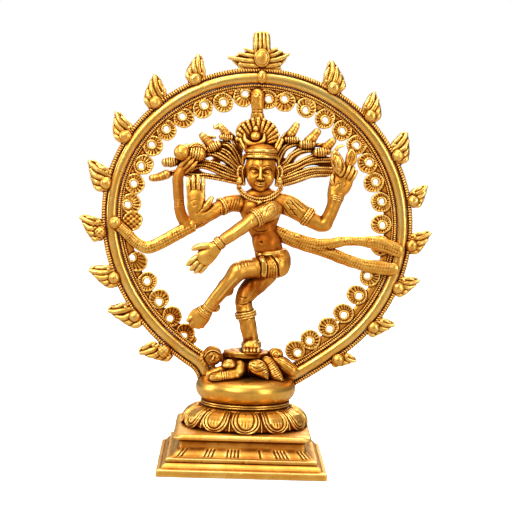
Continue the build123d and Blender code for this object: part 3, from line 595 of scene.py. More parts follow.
def build_lotus():
    nt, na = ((96, 900))
    t = np.linspace(0, 1, nt)[:, None]
    a = (2 * math.pi * np.arange(na) / na)[None, :]
    r0, z0 = petal_profile(t)
    r0, z0 = r0 + 0 * a, z0 + 0 * a
    # angle from the petal whose middle faces the front, a shade left of it
    front = math.radians(-90 + 0.4)
    u = (a - front) / math.radians(30)
    k = np.round(u)
    c = u - k                       # -0.5 to 0.5 across a petal
    x = np.abs(c) * 2               # 0 middle, 1 edge
    x = x + 0 * t
    # petal: hangs from the neck with nearly straight sides and a full round foot
    top = 0.10
    v = (t - top) / (0.975 - top)
    hw = 0.90 + 0.05 * np.clip(v, 0, 1) - 0.16 * np.clip((0.30 - v) / 0.30, 0, 1) ** 2
    vc = 0.50
    rho = np.where(v > vc, np.sqrt((x / hw) ** 2 + (np.clip(v - vc, 0, 2) / (1 - vc)) ** 2), x / hw)
    inside = np.clip((1.0 - rho) * hw * 7.5, -3, 4)        # mm inside the outline, nearly
    above = np.clip((v + 0.02) / 0.05, 0, 1)
    sm = lambda q, w_: 0.5 + 0.5 * np.tanh(q / w_)
    d = np.full(x.shape, -0.80)                            # recess between petals
    w2 = np.clip((1 - x) * 7.5, 0, 9)
    d = d + 0.62 * np.exp(-((w2 / 0.42) ** 2)) * np.clip((v - 0.3) / 0.2, 0, 1) * np.clip((1.02 - v) / 0.1, 0, 1)
    body = 0.12 + 0.34 * np.sin(np.clip(v, 0, 1) * math.pi)
    d = d + (body - d) * sm(inside - 0.12, 0.12) * above
    # double border: raised edge, groove, raised line, groove, domed field
    d = d + 0.30 * np.exp(-(((inside - 0.55) / 0.34) ** 2)) * above
    d = d - 0.52 * np.exp(-(((inside - 1.25) / 0.24) ** 2)) * above
    d = d + 0.20 * np.exp(-(((inside - 1.80) / 0.26) ** 2)) * above
    # inner oval
    ov = np.sqrt((x * 7.5 / 4.0) ** 2 + (np.where(v < 0.44, 0.62, 1.0) * (v - 0.44) / 0.40) ** 2)
    d = d - 0.46 * np.exp(-(((ov - 1.0) / 0.095) ** 2)) * above
    d = d + 0.24 * sm(1.0 - ov, 0.22)
    # slit and chased marks in the field
    d = d - 0.40 * np.exp(-((x * 7.5 / 0.26) ** 2)) * np.exp(-(((v - 0.20) / 0.07) ** 2))
    d = d - 0.16 * (0.5 + 0.5 * np.cos(x * 7.5 * 4.2)) ** 3 * np.exp(-(((ov - 0.55) / 0.28) ** 2)) * np.clip((v - 0.45) / 0.2, 0, 1)
    # neck above the petals stays plain
    plain = np.clip((0.10 - t) / 0.04, 0, 1)
    d = d * (1 - plain)
    rng = np.random.default_rng(11)
    tilt = rng.normal(0, 0.12, 12)[(k.astype(int) % 12)] + 0 * t
    d = d + tilt * c * (1 - plain)
    # push along the profile's normal
    dr, dz = np.gradient(r0[:, 0], t[:, 0]), np.gradient(z0[:, 0], t[:, 0])
    n = np.hypot(dr, dz)
    nr, nz = (-dz / n)[:, None], (dr / n)[:, None]
    d = np.minimum(d, 0.75)
    R, Z = r0 + nr * d, z0 + nz * d
    # petal feet droop unevenly over the block, never below it
    droop = np.clip((t - 0.9) / 0.1, 0, 1) * (x < 0.75) * 0.05
    Z = np.maximum(Z - droop, 18.52)
    R = np.minimum(R, 29.65)
    # underside and inside
    ring = np.stack([AX + R * np.cos(a), R * np.sin(a), Z], -1)
    rows = [r for r in ring]
    for rr, zz in ((26.4, 18.52), (25.4, 18.6), (25.0, 20.4), (23.5, 22.5), (20.7, 23.9), (17.5, 24.5), (9.0, 24.6), (2.75, 24.62), (2.72, 27.7), (9.0, 27.76), (16.0, 27.77)):
        rows.append(np.stack([AX + rr * np.cos(a[0]), rr * np.sin(a[0]), np.full(na, zz)], -1))
    g = np.array(rows)
    n_, m = g.shape[:2]
    p, q = sweep_grid(None, g, closed_ends=False)
    j = np.arange(m)
    b0 = (n_ - 1) * m
    q = np.vstack([q, np.stack([b0 + j, b0 + (j + 1) % m, (j + 1) % m, j], -1)])
    return p, q[:, ::-1]


piece("Lotus_tier", build_lotus(), "lotus_tier", "base_brass", "lotus", relax=0)


def lathe(profile, na, wobble=0.0, seed=1, flip=False):
    """A turned piece about the seat's axis; the profile is a closed loop of (radius, height)."""
    prof = np.array(profile, float)
    a = 2 * math.pi * np.arange(na) / na
    g = np.stack([AX + prof[:, :1] * np.cos(a), prof[:, :1] * np.sin(a), prof[:, 1:] + 0 * a], -1)
    if wobble:
        rng = np.random.default_rng(seed)
        w = sum(np.sin(a * k + rng.uniform(0, 6.3)) for k in (2, 3, 5, 9)) / 4 * wobble
        g[..., 0] += np.cos(a) * w
        g[..., 1] += np.sin(a) * w
    n_, m = g.shape[:2]
    p, q = sweep_grid(None, g, closed_ends=False)
    j = np.arange(m)
    b0 = (n_ - 1) * m
    q = np.vstack([q, np.stack([b0 + j, b0 + (j + 1) % m, (j + 1) % m, j], -1)])
    return p, (q[:, ::-1] if flip else q)


collar = refine(fillet_profile([(2.8, 27.83, 0), (19.4, 27.83, 0.2), (20.2, 28.0, 0.3), (20.75, 28.35, 0.4), (20.75, 28.85, 0.3), (20.25, 29.08, 0.12), (20.78, 29.35, 0.3), (20.8, 29.85, 0.35), (20.2, 30.25, 0.3), (19.4, 30.36, 0.2), (2.8, 30.36, 0)], 4), 0.30)
piece("Collar_ring", lathe(collar, 360, 0.05, 3), "collar_ring", "polished_brass", "polish", relax=0)

seat_prof = spline([(20.1, 30.42), (21.6, 31.6), (22.7, 33.2), (23.35, 35.6), (23.1, 37.6), (22.1, 39.2), (20.4, 40.35), (18.4, 40.85), (16.4, 40.97)], 7)
seat_prof = np.vstack([[(2.6, 30.42)], seat_prof, refine(np.array([(16.4, 40.97), (8.0, 40.98), (0.02, 40.98)]), 1.0)[1:], [(0.02, 38.05), (2.6, 38.0)]])
seat_prof = refine(seat_prof, 0.35)
piece("Drum_seat", lathe(seat_prof, 420, 0.06, 4), "drum_seat", "polished_brass", "polish", relax=0)

# stud, washer and nut
rows = []
for i, z in enumerate(np.arange(10.55, 37.95, 0.16)):
    rows.append((2.44 - 0.24 * (0.5 + 0.5 * math.cos(2 * math.pi * z / 0.8)) * (z < 15.0), z))
piece("Fixing_stud", lathe([(0.05, 10.52), (2.1, 10.52)] + rows + [(2.2, 37.97), (0.05, 37.97)], 64), "fixing_stud", "fixing_brass", "fix", relax=0)
piece("Fixing_washer", lathe(refine(fillet_profile([(2.75, 14.55, 0), (5.8, 14.53, 0.2), (5.97, 15.0, 0.3), (5.8, 15.47, 0.2), (2.75, 15.48, 0)], 4), 0.2), 120), "fixing_washer", "fixing_brass", "fix", relax=0)


def build_nut():
    a = 2 * math.pi * np.arange(180) / 180
    hexr = 4.6 * math.cos(math.pi / 6) / np.cos((a + math.pi / 6) % (math.pi / 3) - math.pi / 6)
    rows = []
    for z, cut, base in ((10.52, 3.75, 1), (10.56, 4.0, 1), (10.9, 4.6, 1), (12.5, 4.62, 1), (14.1, 4.6, 1), (14.44, 4.0, 1), (14.48, 3.75, 1)):
        r = np.minimum(hexr - 0.03, cut)
        rows.append(np.stack([AX + r * np.cos(a), r * np.sin(a), np.full(180, z)], -1))
    for z in np.arange(14.45, 10.5, -0.2):
        r = 2.53 + 0.1 * math.cos(2 * math.pi * z / 0.8)
        rows.append(np.stack([AX + r * np.cos(a), r * np.sin(a), np.full(180, z)], -1))
    g = np.array(rows)
    n_, m = g.shape[:2]
    p, q = sweep_grid(None, g, closed_ends=False)
    j = np.arange(m)
    b0 = (n_ - 1) * m
    return p, np.vstack([q, np.stack([b0 + j, b0 + (j + 1) % m, (j + 1) % m, j], -1)])


piece("Fixing_nut", build_nut(), "fixing_nut", "fixing_brass", "fix", relax=0)


# =============================================================================================
# Halo: polished bar, ticked outer cord, twisted inner rope, pierced rosettes, flames
# =============================================================================================
def along(offset, s, y, m, a, b, e=2.0, depth=None):
    """Rings of a section (half width a, half depth b) about the line offset outward by offset."""
    c, t, o = at(s)
    x, z = superellipse(m, 1.0, 1.0, e)
    # x runs outward, z runs to the back
    u = offset + a * x[None, :]
    w = y + b * z[None, :]
    X = c[:, 0][:, None] + o[:, 0][:, None] * u
    Z = c[:, 1][:, None] + o[:, 1][:, None] * u
    Y = w + 0 * X
    return np.stack([X, Y, Z], -1), x, z, c, o


def halo_bar():
    s = np.arange(0, LENGTH, 0.4)
    c, t, o = at(s)
    m = 56
    a = 2 * math.pi * np.arange(m) / m
    cx, sy = np.cos(a), np.sin(a)
    # rounded front, flatter back
    u = 2.58 * np.sign(cx) * np.abs(cx) ** 0.80
    w = np.where(sy < 0, -2.45 * np.abs(sy) ** 0.92, 2.38 * np.abs(sy) ** 0.62)
    rng = np.random.default_rng(8)
    wob = sum(np.sin(s * k + rng.uniform(0, 6.3)) for k in (0.09, 0.17, 0.31, 0.62)) / 4
    swell = 1 + 0.018 * wob
    U = u[None, :] * swell[:, None]
    W = w[None, :] * (1 + 0.012 * np.roll(wob, 40))[:, None]
    # shallow dents and file marks
    for _ in range(70):
        s0, a0 = rng.uniform(0, LENGTH), rng.uniform(-2.9, -0.2)
        g = np.exp(-(((s - s0) / rng.uniform(0.5, 1.6)) ** 2))[:, None] * np.exp(-(((a - 2 * math.pi * (a > math.pi) - a0) / 0.28) ** 2))[None, :]
        W = W + g * rng.uniform(0.03, 0.09)
    X = c[:, :1] + o[:, :1] * U
    Z = c[:, 1:] + o[:, 1:] * U
    return sweep_grid(None, np.stack([X, RING_Y + W, Z], -1))


def cord(offset, y, a, b, pitch, lobes, depth, lean, step, seed, m=22):
    """A twisted cord: lobes across pitch, with grooves of the given depth leaning round the section."""
    s = np.arange(0, LENGTH, step * (1.0))
    c, t, o = at(s)
    f = 2 * math.pi * np.arange(m) / m
    rng = np.random.default_rng(seed)
    drift = sum(np.sin(s * k + rng.uniform(0, 6.3)) for k in (0.05, 0.13, 0.37)) * 0.5
    ph = 2 * math.pi * (s / pitch)[:, None] + lean * f[None, :] + drift[:, None]
    tick = 1 - np.abs(np.cos(ph / 2)) ** 0.7 if lobes == 1 else 1 - np.abs(np.cos(ph / 2))
    wear = 1 + 0.10 * np.sin(s * 0.21 + 1.3) + 0.08 * np.sin(s * 0.53 + seed)
    r = 1 - depth * tick * wear[:, None]
    U = offset + a * np.cos(f)[None, :] * r
    W = y + b * np.sin(f)[None, :] * r
    X = c[:, :1] + o[:, :1] * U
    Z = c[:, 1:] + o[:, 1:] * U
    return sweep_grid(None, np.stack([X, W + 0 * X, Z], -1))


def join(*meshes):
    ps, qs, n = [], [], 0
    for p, q in meshes:
        ps.append(p)
        qs.append(q + n)
        n += len(p)
    return np.vstack(ps), np.vstack(qs)


piece("Halo_rim", halo_bar(), "halo_rim", "polished_brass", "polish", relax=0)
piece("Halo_outer_cord", cord(3.62, RING_Y, 1.26, 1.50, 1.12, 1, 0.34, 0.9, 0.17, 2, 24), "halo_outer_cord", "antique_brass", "cord", relax=0)
piece("Halo_inner_rope", join(cord(-3.42, RING_Y, 0.92, 1.38, 1.05, 1, 0.32, 1.0, 0.20, 5, 20), cord(-4.62, RING_Y + 0.15, 0.66, 1.12, 0.98, 1, 0.34, -1.0, 0.22, 6, 16)), "halo_inner_rope", "antique_brass", "cord", relax=0)

ROSETTES_L = [
    ((-27.75, 60.00), (-28.49, 58.80)), ((-34.12, 67.98), (-35.05, 66.93)), ((-40.37, 75.95), (-40.46, 74.57)), ((-46.14, 83.79), (-46.28, 84.06)),
    ((-50.94, 93.07), (-53.48, 94.98)), ((-53.70, 112.09), None), ((-54.48, 120.05), (-56.19, 119.54)), ((-53.09, 129.34), (-53.54, 129.47)), ((-49.27, 138.26), (-50.35, 137.62)),
    ((-45.02, 147.09), (-45.70, 147.71)), ((-38.97, 154.58), (-39.14, 155.06)), ((-31.16, 160.36), (-31.92, 161.23)), ((-22.45, 165.11), (-22.02, 166.61)),
    ((-13.09, 168.12), (-12.99, 168.15)), ((-4.00, 171.08), (-3.13, 172.59)),
]
ROSETTES_R = [
    ((7.17, 170.20), (7.80, 170.40)), ((15.59, 169.27), (15.22, 170.65)), ((25.49, 166.95), (25.02, 165.75)), ((34.27, 162.04), (34.43, 161.51)), ((42.40, 156.83), (42.55, 156.70)),
    ((49.49, 150.47), (49.25, 150.26)), ((54.76, 142.04), (55.61, 142.43)), ((58.05, 133.21), (58.78, 133.50)), ((61.70, 124.10), (62.00, 124.48)), ((62.10, 113.90), (62.72, 113.51)),
    ((62.13, 103.84), None), ((57.71, 89.18), (56.63, 89.64)), ((51.94, 80.44), (52.92, 80.04)), ((45.98, 71.62), (46.21, 70.83)), ((39.12, 65.02), (39.74, 64.19)),
    ((30.92, 58.82), (30.51, 58.25)), ((23.81, 53.45), (25.09, 52.40)),
]


def rosette_band(items, s0, s1, seed):
    """A run of pierced rosettes with the strip that carries them on the inside of the rope."""
    pts = np.array([d for d, _ in items])
    lo, hi = pts.min(0) - 7.5, pts.max(0) + 7.5
    w = Clay((lo[0], -0.4, lo[1]), (hi[0], 4.4, hi[1]), 0.25)
    s = np.arange(s0, s1, 1.6)
    c, t, o = at(s)
    run = [(c[i, 0] - o[i, 0] * 6.6, RING_Y + 0.25, c[i, 1] - o[i, 1] * 6.6, 1.95, 0.8) for i in range(len(s))]
    w.tube(run, k=0.2, n=2)
    rng = np.random.default_rng(seed)
    for (dx, dz), hole in items:
        hx, hz = hole if hole else (dx, dz)
        sl, (X, Y, Z) = w.block((dx - 5.6, -0.4, dz - 5.6), (dx + 5.6, 4.4, dz + 5.6))
        x, z = X - dx, Z - dz
        th = np.arctan2(z, x)
        ph = rng.uniform(0, 6.3)
        R = 4.72 * (1 + 0.03 * np.sin(2 * th + ph) + 0.015 * np.sin(5 * th + 2 * ph))
        rho = np.sqrt(x * x + z * z)
        rh = np.sqrt((X - hx) ** 2 + (Z - hz) ** 2)
        ah = np.arctan2(Z - hz, X - hx)
        half = 0.98 + 0.16 * np.exp(-(((rho - R + 0.55) / 0.36) ** 2))
        petals = int(rng.integers(16, 21))
        if hole:
            half = half + 0.14 * np.exp(-(((rh - 1.9) / 0.45) ** 2)) - 0.12 * np.exp(-(((rh - 2.6) / 0.2) ** 2))
            rib = (0.5 + 0.5 * np.cos(petals * (ah + 0.05 * np.sin(3 * ah + ph)) + ph)) ** 1.4
            half = half - 0.28 * rib * np.clip((rh - 2.0) / 0.7, 0, 1) * np.clip((R - rho - 0.10) / 0.8, 0.25, 1) * (0.75 + 0.25 * np.sin(2 * ah + 2 * ph))
        else:
            half = half + 0.16 * np.sin(x * 2.3 + ph) * np.sin(z * 2.6 + 2 * ph) + 0.3 * np.exp(-((rho / 1.6) ** 2))
        d = np.maximum((np.abs(Y - RING_Y) - half) * 0.8, rho - R)
        w.put(sl, d.astype(F4), 0.25, "add")
    for (dx, dz), hole in items:
        if hole:
            sl, (X, Y, Z) = w.block((hole[0] - 2.6, -0.4, hole[1] - 2.6), (hole[0] + 2.6, 4.4, hole[1] + 2.6))
            a = np.arctan2(Z - hole[1], X - hole[0])
            ph = rng.uniform(0, 6.3)
            d = np.sqrt((X - hole[0]) ** 2 + (Z - hole[1]) ** 2) - 1.38 * (1 + 0.06 * np.sin(2 * a + ph) + 0.04 * np.sin(3 * a + 2 * ph)) + 0 * Y
            w.put(sl, d.astype(F4), 0.18, "cut")
    return w


S_TOP = s_of((1.48, 179.86))
S_FOOT = 4.0


def trim_to_rope(w):
    """Cuts a rosette run off just under the inner rope."""
    s = np.arange(0, LENGTH, 0.8)
    c, t, o = at(s)
    lo, hi = w.lo, w.lo + w.h * (w.n - 1)
    X, Z = w.ax[0][:, None], w.ax[2][None, :]
    best = np.full((w.n[0], w.n[2]), 1e9)
    off = np.zeros((w.n[0], w.n[2]))
    for i in range(len(s)):
        if lo[0] - 8 < c[i, 0] < hi[0] + 8 and lo[2] - 8 < c[i, 1] < hi[2] + 8:
            a0, a1 = np.searchsorted(w.ax[0], [c[i, 0] - 9, c[i, 0] + 9])
            b0, b1 = np.searchsorted(w.ax[2], [c[i, 1] - 9, c[i, 1] + 9])
            if a1 <= a0 or b1 <= b0:
                continue
            dx, dz = X[a0:a1] - c[i, 0], Z[:, b0:b1] - c[i, 1]
            d2 = dx * dx + dz * dz
            near = d2 < best[a0:a1, b0:b1]
            best[a0:a1, b0:b1] = np.where(near, d2, best[a0:a1, b0:b1])
            off[a0:a1, b0:b1] = np.where(near, dx * o[i, 0] + dz * o[i, 1], off[a0:a1, b0:b1])
    off = np.where(best < 80, off, -9)
    keep = (off + 4.85)[:, None, :].astype(F4)
    w.f = np.maximum(w.f, keep)
    return w


band_l = trim_to_rope(rosette_band(ROSETTES_L, s_of((-28.10, 51.49)) , S_TOP - 0.1, 21)).ripple(0.05, 4.0, 1)
band_r = trim_to_rope(rosette_band(ROSETTES_R, S_TOP + 0.1, s_of((27.05, 44.57)), 22)).ripple(0.05, 4.0, 2)
piece("Rosettes_left", band_l.mesh(), "rosettes_left", "antique_brass", "relief")
piece("Rosettes_right", band_r.mesh(), "rosettes_right", "antique_brass", "relief")

FLAMES = {
    "flame_left_1": ((-26.46, 178.53), (-24.90, 190.13)), "flame_left_2": ((-44.30, 167.28), (-45.18, 180.09)), "flame_left_3": ((-57.91, 151.12), (-62.66, 162.43)),
    "flame_left_4": ((-66.38, 129.15), (-74.62, 139.43)), "flame_left_5": ((-68.64, 106.42), (-78.07, 113.37)), "flame_left_6": ((-61.69, 85.09), (-73.52, 88.71)),
    "flame_left_7": ((-51.57, 67.44), (-64.23, 69.74)), "flame_left_8": ((-37.51, 51.52), (-49.24, 50.31)),
    "flame_right_1": ((37.95, 176.38), (36.56, 189.21)), "flame_right_2": ((55.50, 164.01), (56.82, 175.22)), "flame_right_3": ((68.81, 146.00), (72.66, 157.12)),
    "flame_right_4": ((76.71, 125.21), (82.92, 132.43)), "flame_right_5": ((76.78, 104.27), (85.53, 110.49)), "flame_right_6": ((71.20, 84.30), (80.83, 87.90)),
    "flame_right_7": ((60.29, 65.40), (70.14, 66.81)), "flame_right_8": ((44.12, 49.70), (52.54, 49.31)),
}


def flame(name, boss, tip, seed):
    bx, bz = boss
    ox, oz = bx - C0[0], bz - C0[1]
    n = math.hypot(ox, oz)
    ox, oz = ox / n, oz / n
    sx, sz = (oz, -ox) if "left" in name else (-oz, ox)
    reach = ((tip[0] - bx) * ox + (tip[1] - bz) * oz) / 11.7
    lean = ((tip[0] - bx) * sx + (tip[1] - bz) * sz) / 7.0
    rng = np.random.default_rng(seed)
    g = lambda s, o: (bx + sx * s * lean + ox * o * reach, bz + sz * s * lean + oz * o * reach)
    f = lambda s, o, y, r, ry: (*[v for v in (g(s, o)[0],)], RING_Y + y, g(s, o)[1], r, ry)
    allp = [g(s, o) for s in (-5, 10) for o in (-4, 13.5)]
    lo, hi = np.min(allp, 0), np.max(allp, 0)
    w = Clay((lo[0] - 1, RING_Y - 3.6, lo[1] - 1), (hi[0] + 1, RING_Y + 2.2, hi[1] + 1), 0.24)
    body = smooth_loop([g(*q) for q in ((-3.2, -1.6), (-3.9, 1.2), (-3.8, 3.6), (-2.6, 6.0), (-0.4, 8.1), (2.0, 9.6), (4.4, 11.0), (6.9, 11.7), (7.9, 9.2), (7.2, 5.6), (6.4, 1.9), (4.5, -1.6))], 3)
    w.slab(body, RING_Y - 0.3, RING_Y + 1.35, edge=0.7)
    # fleshy tongues, the outer ones short, the inner one running to the tip
    tongues = [
        [(-2.0, -1.0), (-2.5, 1.4), (-2.7, 3.2), (-2.1, 4.9)],
        [(-0.6, -1.0), (-0.7, 2.4), (-0.4, 5.0), (0.6, 7.2)],
        [(1.1, -1.0), (1.4, 3.2), (2.0, 6.4), (3.6, 9.4)],
        [(2.9, -1.0), (3.7, 3.2), (4.6, 7.0), (6.5, 11.2)],
        [(4.6, -0.6), (5.6, 2.2), (6.0, 4.6), (6.6, 7.4)],
    ]
    sc = min(1.06, 0.5 + 0.5 * (reach + lean) / 2)
    for i, path in enumerate(tongues):
        j = rng.normal(0, 0.15, (4, 2))
        rr = [1.25, 1.48, 1.42, 0.95] if i != 4 else [1.0, 1.12, 1.05, 0.8]
        pts = [f(s + j[q, 0], o + j[q, 1], -0.50 - 0.30 * (q in (1, 2)) + 0.16 * (i % 2), rr[q] * sc, rr[q] * sc * 0.90) for q, (s, o) in enumerate(path)]
        w.tube(pts, k=0.12, n=6)
    # a fine line down each tongue
    for i, path in enumerate(tongues):
        line = [g(s + 0.05, o) for s, o in path[1:]]
        line[-1] = lerp(line[-2], line[-1], 0.55)
        if i in (1, 2, 3):
            w.draw(line, 0.11, k=0.06, lift=0.02, taper=True)
    # scroll at the foot of the tongues
    for s0, o0, r in ((-2.6, 1.6, 0.85), (4.4, 1.2, 0.8)):
        c = g(s0, o0)
        w.ball((c[0], RING_Y - 1.3, c[1]), (r, r * 0.7, r), k=0.15)
    # round boss in front of the bar's edge
    br = 2.95 * rng.uniform(0.95, 1.04)
    w.ball((bx, RING_Y - 1.25, bz), (br, 2.0, br), k=0.05)
    sl, (X, Y, Z) = w.block((bx - 3.6, RING_Y - 3.6, bz - 3.6), (bx + 3.6, RING_Y, bz + 3.6))
    rho = np.sqrt((X - bx) ** 2 + (Z - bz) ** 2)
    w.f[sl] += (0.14 * np.exp(-(((rho - 2.4) / 0.20) ** 2)) * (Y < RING_Y - 1)).astype(F4)
    if seed % 3 != 1:
        w.f[sl] += (0.20 * np.exp(-((rho / 0.36) ** 2)) * (Y < RING_Y - 1)).astype(F4)
    if name in ("flame_left_5", "flame_left_8"):
        w.f[sl] += (0.13 * np.sin(X * 3.1 + 1) * np.sin(Z * 3.4) * (Y < RING_Y)).astype(F4)
    w.ripple(0.07, 3.4, seed + 50)
    return w


for i, (name, (boss, tip)) in enumerate(FLAMES.items()):
    w = flame(name, boss, tip, i)
    piece(name.title(), w.mesh(), name, "antique_brass", "flame")


def crest():
    w = Clay((-14.65 , -3.2, 180.35), (19.54, 5.0, 201.7), 0.24)
    y = RING_Y
    w.slab(smooth_loop([(0.55, 188.17), (-0.11, 194.59), (-0.25, 199.18), (1.54, 201.26), (6.16, 201.40), (7.61, 199.43), (8.01, 193.92), (7.49, 188.39)], 3), y - 1.2, y + 1.5, edge=0.8)
    for a in range(4):
        u = 255.5 + a * 4.4
        x0, z0 = [(1.18, 191.87), (3.17, 191.93), (5.15, 191.99), (7.01, 192.05)][a]
        x1, z1 = [(1.38, 200.34), (3.03, 200.76), (4.79, 200.81), (6.38, 200.40)][a]
        w.tube([(x0, y - 1.1, z0, 0.95), ((x0 + x1) / 2, y - 1.3, (z0 + z1) / 2, 1.0), (x1, y - 0.7, z1, 0.72)], k=0.08)
    # side leaves: broad fans of fleshy tongues
    w.slab(smooth_loop([(2.54, 183.63), (-5.82, 184.52), (-10.11, 188.53), (-6.02, 190.96), (-2.36, 192.45), (2.26, 192.82)], 3), y - 0.2, y + 1.3, edge=0.6)
    w.slab(smooth_loop([(6.24, 183.74), (12.23, 185.08), (15.78, 190.02), (12.91, 192.93), (9.66, 193.06), (5.96, 192.94)], 3), y - 0.2, y + 1.3, edge=0.6)
    for pts, r0, r1 in (
        ([(2.02, 185.45), (-2.15, 185.55), (-5.87, 186.04)], 1.3, 0.95),
        ([(1.95, 187.75), (-3.14, 187.82), (-7.79, 188.37), (-10.82, 188.97)], 1.35, 0.85),
        ([(1.89, 189.82), (-2.29, 190.15), (-6.02, 190.96)], 1.3, 0.8),
        ([(2.29, 191.68), (-0.96, 192.26), (-3.77, 193.10)], 1.15, 0.7),
        ([(6.65, 185.60), (9.88, 185.93), (12.64, 186.70)], 1.3, 0.9),
        ([(6.58, 187.90), (10.73, 188.49), (13.93, 189.74), (16.20, 191.19)], 1.35, 0.85),
        ([(6.51, 189.97), (9.73, 190.76), (12.92, 192.47)], 1.25, 0.75),
        ([(6.46, 191.81), (9.20, 192.81), (10.79, 193.78)], 1.1, 0.65),
    ):
        m_ = len(pts) - 1
        w.tube([(x, y - 0.7, z, r0 + (r1 - r0) * i / m_, (r0 + (r1 - r0) * i / m_) * 0.9) for i, (x, z) in enumerate(pts)], k=0.10)
        w.draw([lerp(pts[0], pts[1], 0.5)] + pts[1:-1] + [lerp(pts[-2], pts[-1], 0.6)], 0.15, k=0.06, taper=True)
    w.slab([(-6.72, 183.34), (-6.55, 185.42), (13.14, 185.34), (13.44, 183.27)], y - 1.2, y + 1.4, edge=0.5, k=0.2)
    w.draw([(-6.28, 184.27), (-0.26, 184.18), (12.72, 184.22)], 0.22, k=0.1)
    cx, cz = (4.22, 189.20)
    w.ball((cx, y - 1.6, cz), (3.7, 2.0, 4.4), k=0.1)
    sl, (X, Y, Z) = w.block((cx - 5, -3.2, cz - 5.5), (cx + 5, y, cz + 5.5))
    rho = np.sqrt(((X - cx) / 3.7) ** 2 + ((Z - cz) / 4.4) ** 2)
    w.f[sl] += (0.22 * np.exp(-(((rho - 0.78) / 0.07) ** 2)) * (Y < y - 1)).astype(F4)
    return w.ripple(0.06, 3.5, 77)


piece("Flame_crest", crest().mesh(), "flame_crest", "antique_brass", "flame")
bx, bz = (4.49, 180.46)
w = Clay((bx - 3.4, -2.7, bz - 4.4), (bx + 3.4, 1.5, bz + 4.4), 0.2)
w.ball((bx, -0.35, bz), (2.15, 1.5, 3.0), k=0.1)
w.girdle((bx - 2.3, -0.5, bz), (1, 0, 0), 0.3, 0.2, 3.4)
w.f += (0.16 * np.exp(-((np.abs(np.sqrt(((w.ax[0][:, None, None] - bx) / 2.15) ** 2 + ((w.ax[2][None, None, :] - bz) / 3.0) ** 2)) - 0.74) / 0.1) ** 2)).astype(F4)
piece("Crest_bead", w.mesh(), "crest_bead", "polished_brass", "polish")


# =============================================================================================
# The dancer, the dwarf and everything they wear and hold
# =============================================================================================
def resample(p, step):
    p = np.array(p, float)
    s = np.concatenate([[0], np.cumsum(np.linalg.norm(np.diff(p, axis=0), axis=1))])
    n = max(2, int(s[-1] / step) + 1)
    t = np.linspace(0, s[-1], n)
    return np.stack([np.interp(t, s, p[:, i]) for i in range(p.shape[1])], 1), t


def normals2(p):
    d = np.gradient(p[:, :2], axis=0)
    d /= np.linalg.norm(d, axis=1)[:, None] + 1e-9
    return np.stack([-d[:, 1], d[:, 0]], 1)


def twin(w, pts, y, gap=0.60, r=0.64, bead=0.95, amp=0.13, k=0.10, depth=1.0, taper=1.0, sides=(-1, 1)):
    """A braid of beaded cords lying side by side along (x, z) points."""
    p, s = resample(spline(pts, 8), 0.26)
    nn = normals2(p)
    for side in sides:
        f = 1 - (1 - taper) * s / s[-1]
        rr = r * f * (1 + amp * np.sin(2 * math.pi * s / bead + 2.1 * side))
        q = p[:, :2] + nn * gap * side * f[:, None]
        yy = y(s / s[-1]) if callable(y) else y
        yy = yy + 0 * s
        w.tube([(q[i, 0], yy[i], q[i, 1], rr[i], rr[i] * depth) for i in range(len(s))], k=k, n=1)


def ticks(w, pts, width, spacing, r=0.15, lean=0.0, lift=0.0, start=0.0, end=1.0, k=0.05, side=-1, bow=0.0):
    """Short grooves across a path, width either side of it."""
    p, s = resample(spline(pts, 8), 0.3)
    nn = normals2(p)
    tt = np.gradient(p[:, :2], axis=0)
    tt /= np.linalg.norm(tt, axis=1)[:, None] + 1e-9
    for q in np.arange(start * s[-1] + spacing / 2, end * s[-1], spacing):
        i = int(np.argmin(np.abs(s - q)))
        wd = width[0] + (width[1] - width[0]) * s[i] / s[-1] if np.ndim(width) else width
        c = p[i, :2]
        a, b = c + nn[i] * wd + tt[i] * lean, c - nn[i] * wd - tt[i] * lean
        m = c + tt[i] * bow
        w.draw([tuple(a), tuple(m), tuple(b)], r, k=k, lift=lift, side=side, n=3)


def rings(w, a, b, count, width, amp, R, soft=1.0):
    """Grooves right round a limb, spread evenly from a to b."""
    a, b = np.array(a, float), np.array(b, float)
    for i in range(count):
        t = 0.5 if count == 1 else i / (count - 1)
        w.girdle(a + (b - a) * t, b - a, width, amp, R, soft)


FIG = "figure_brass"

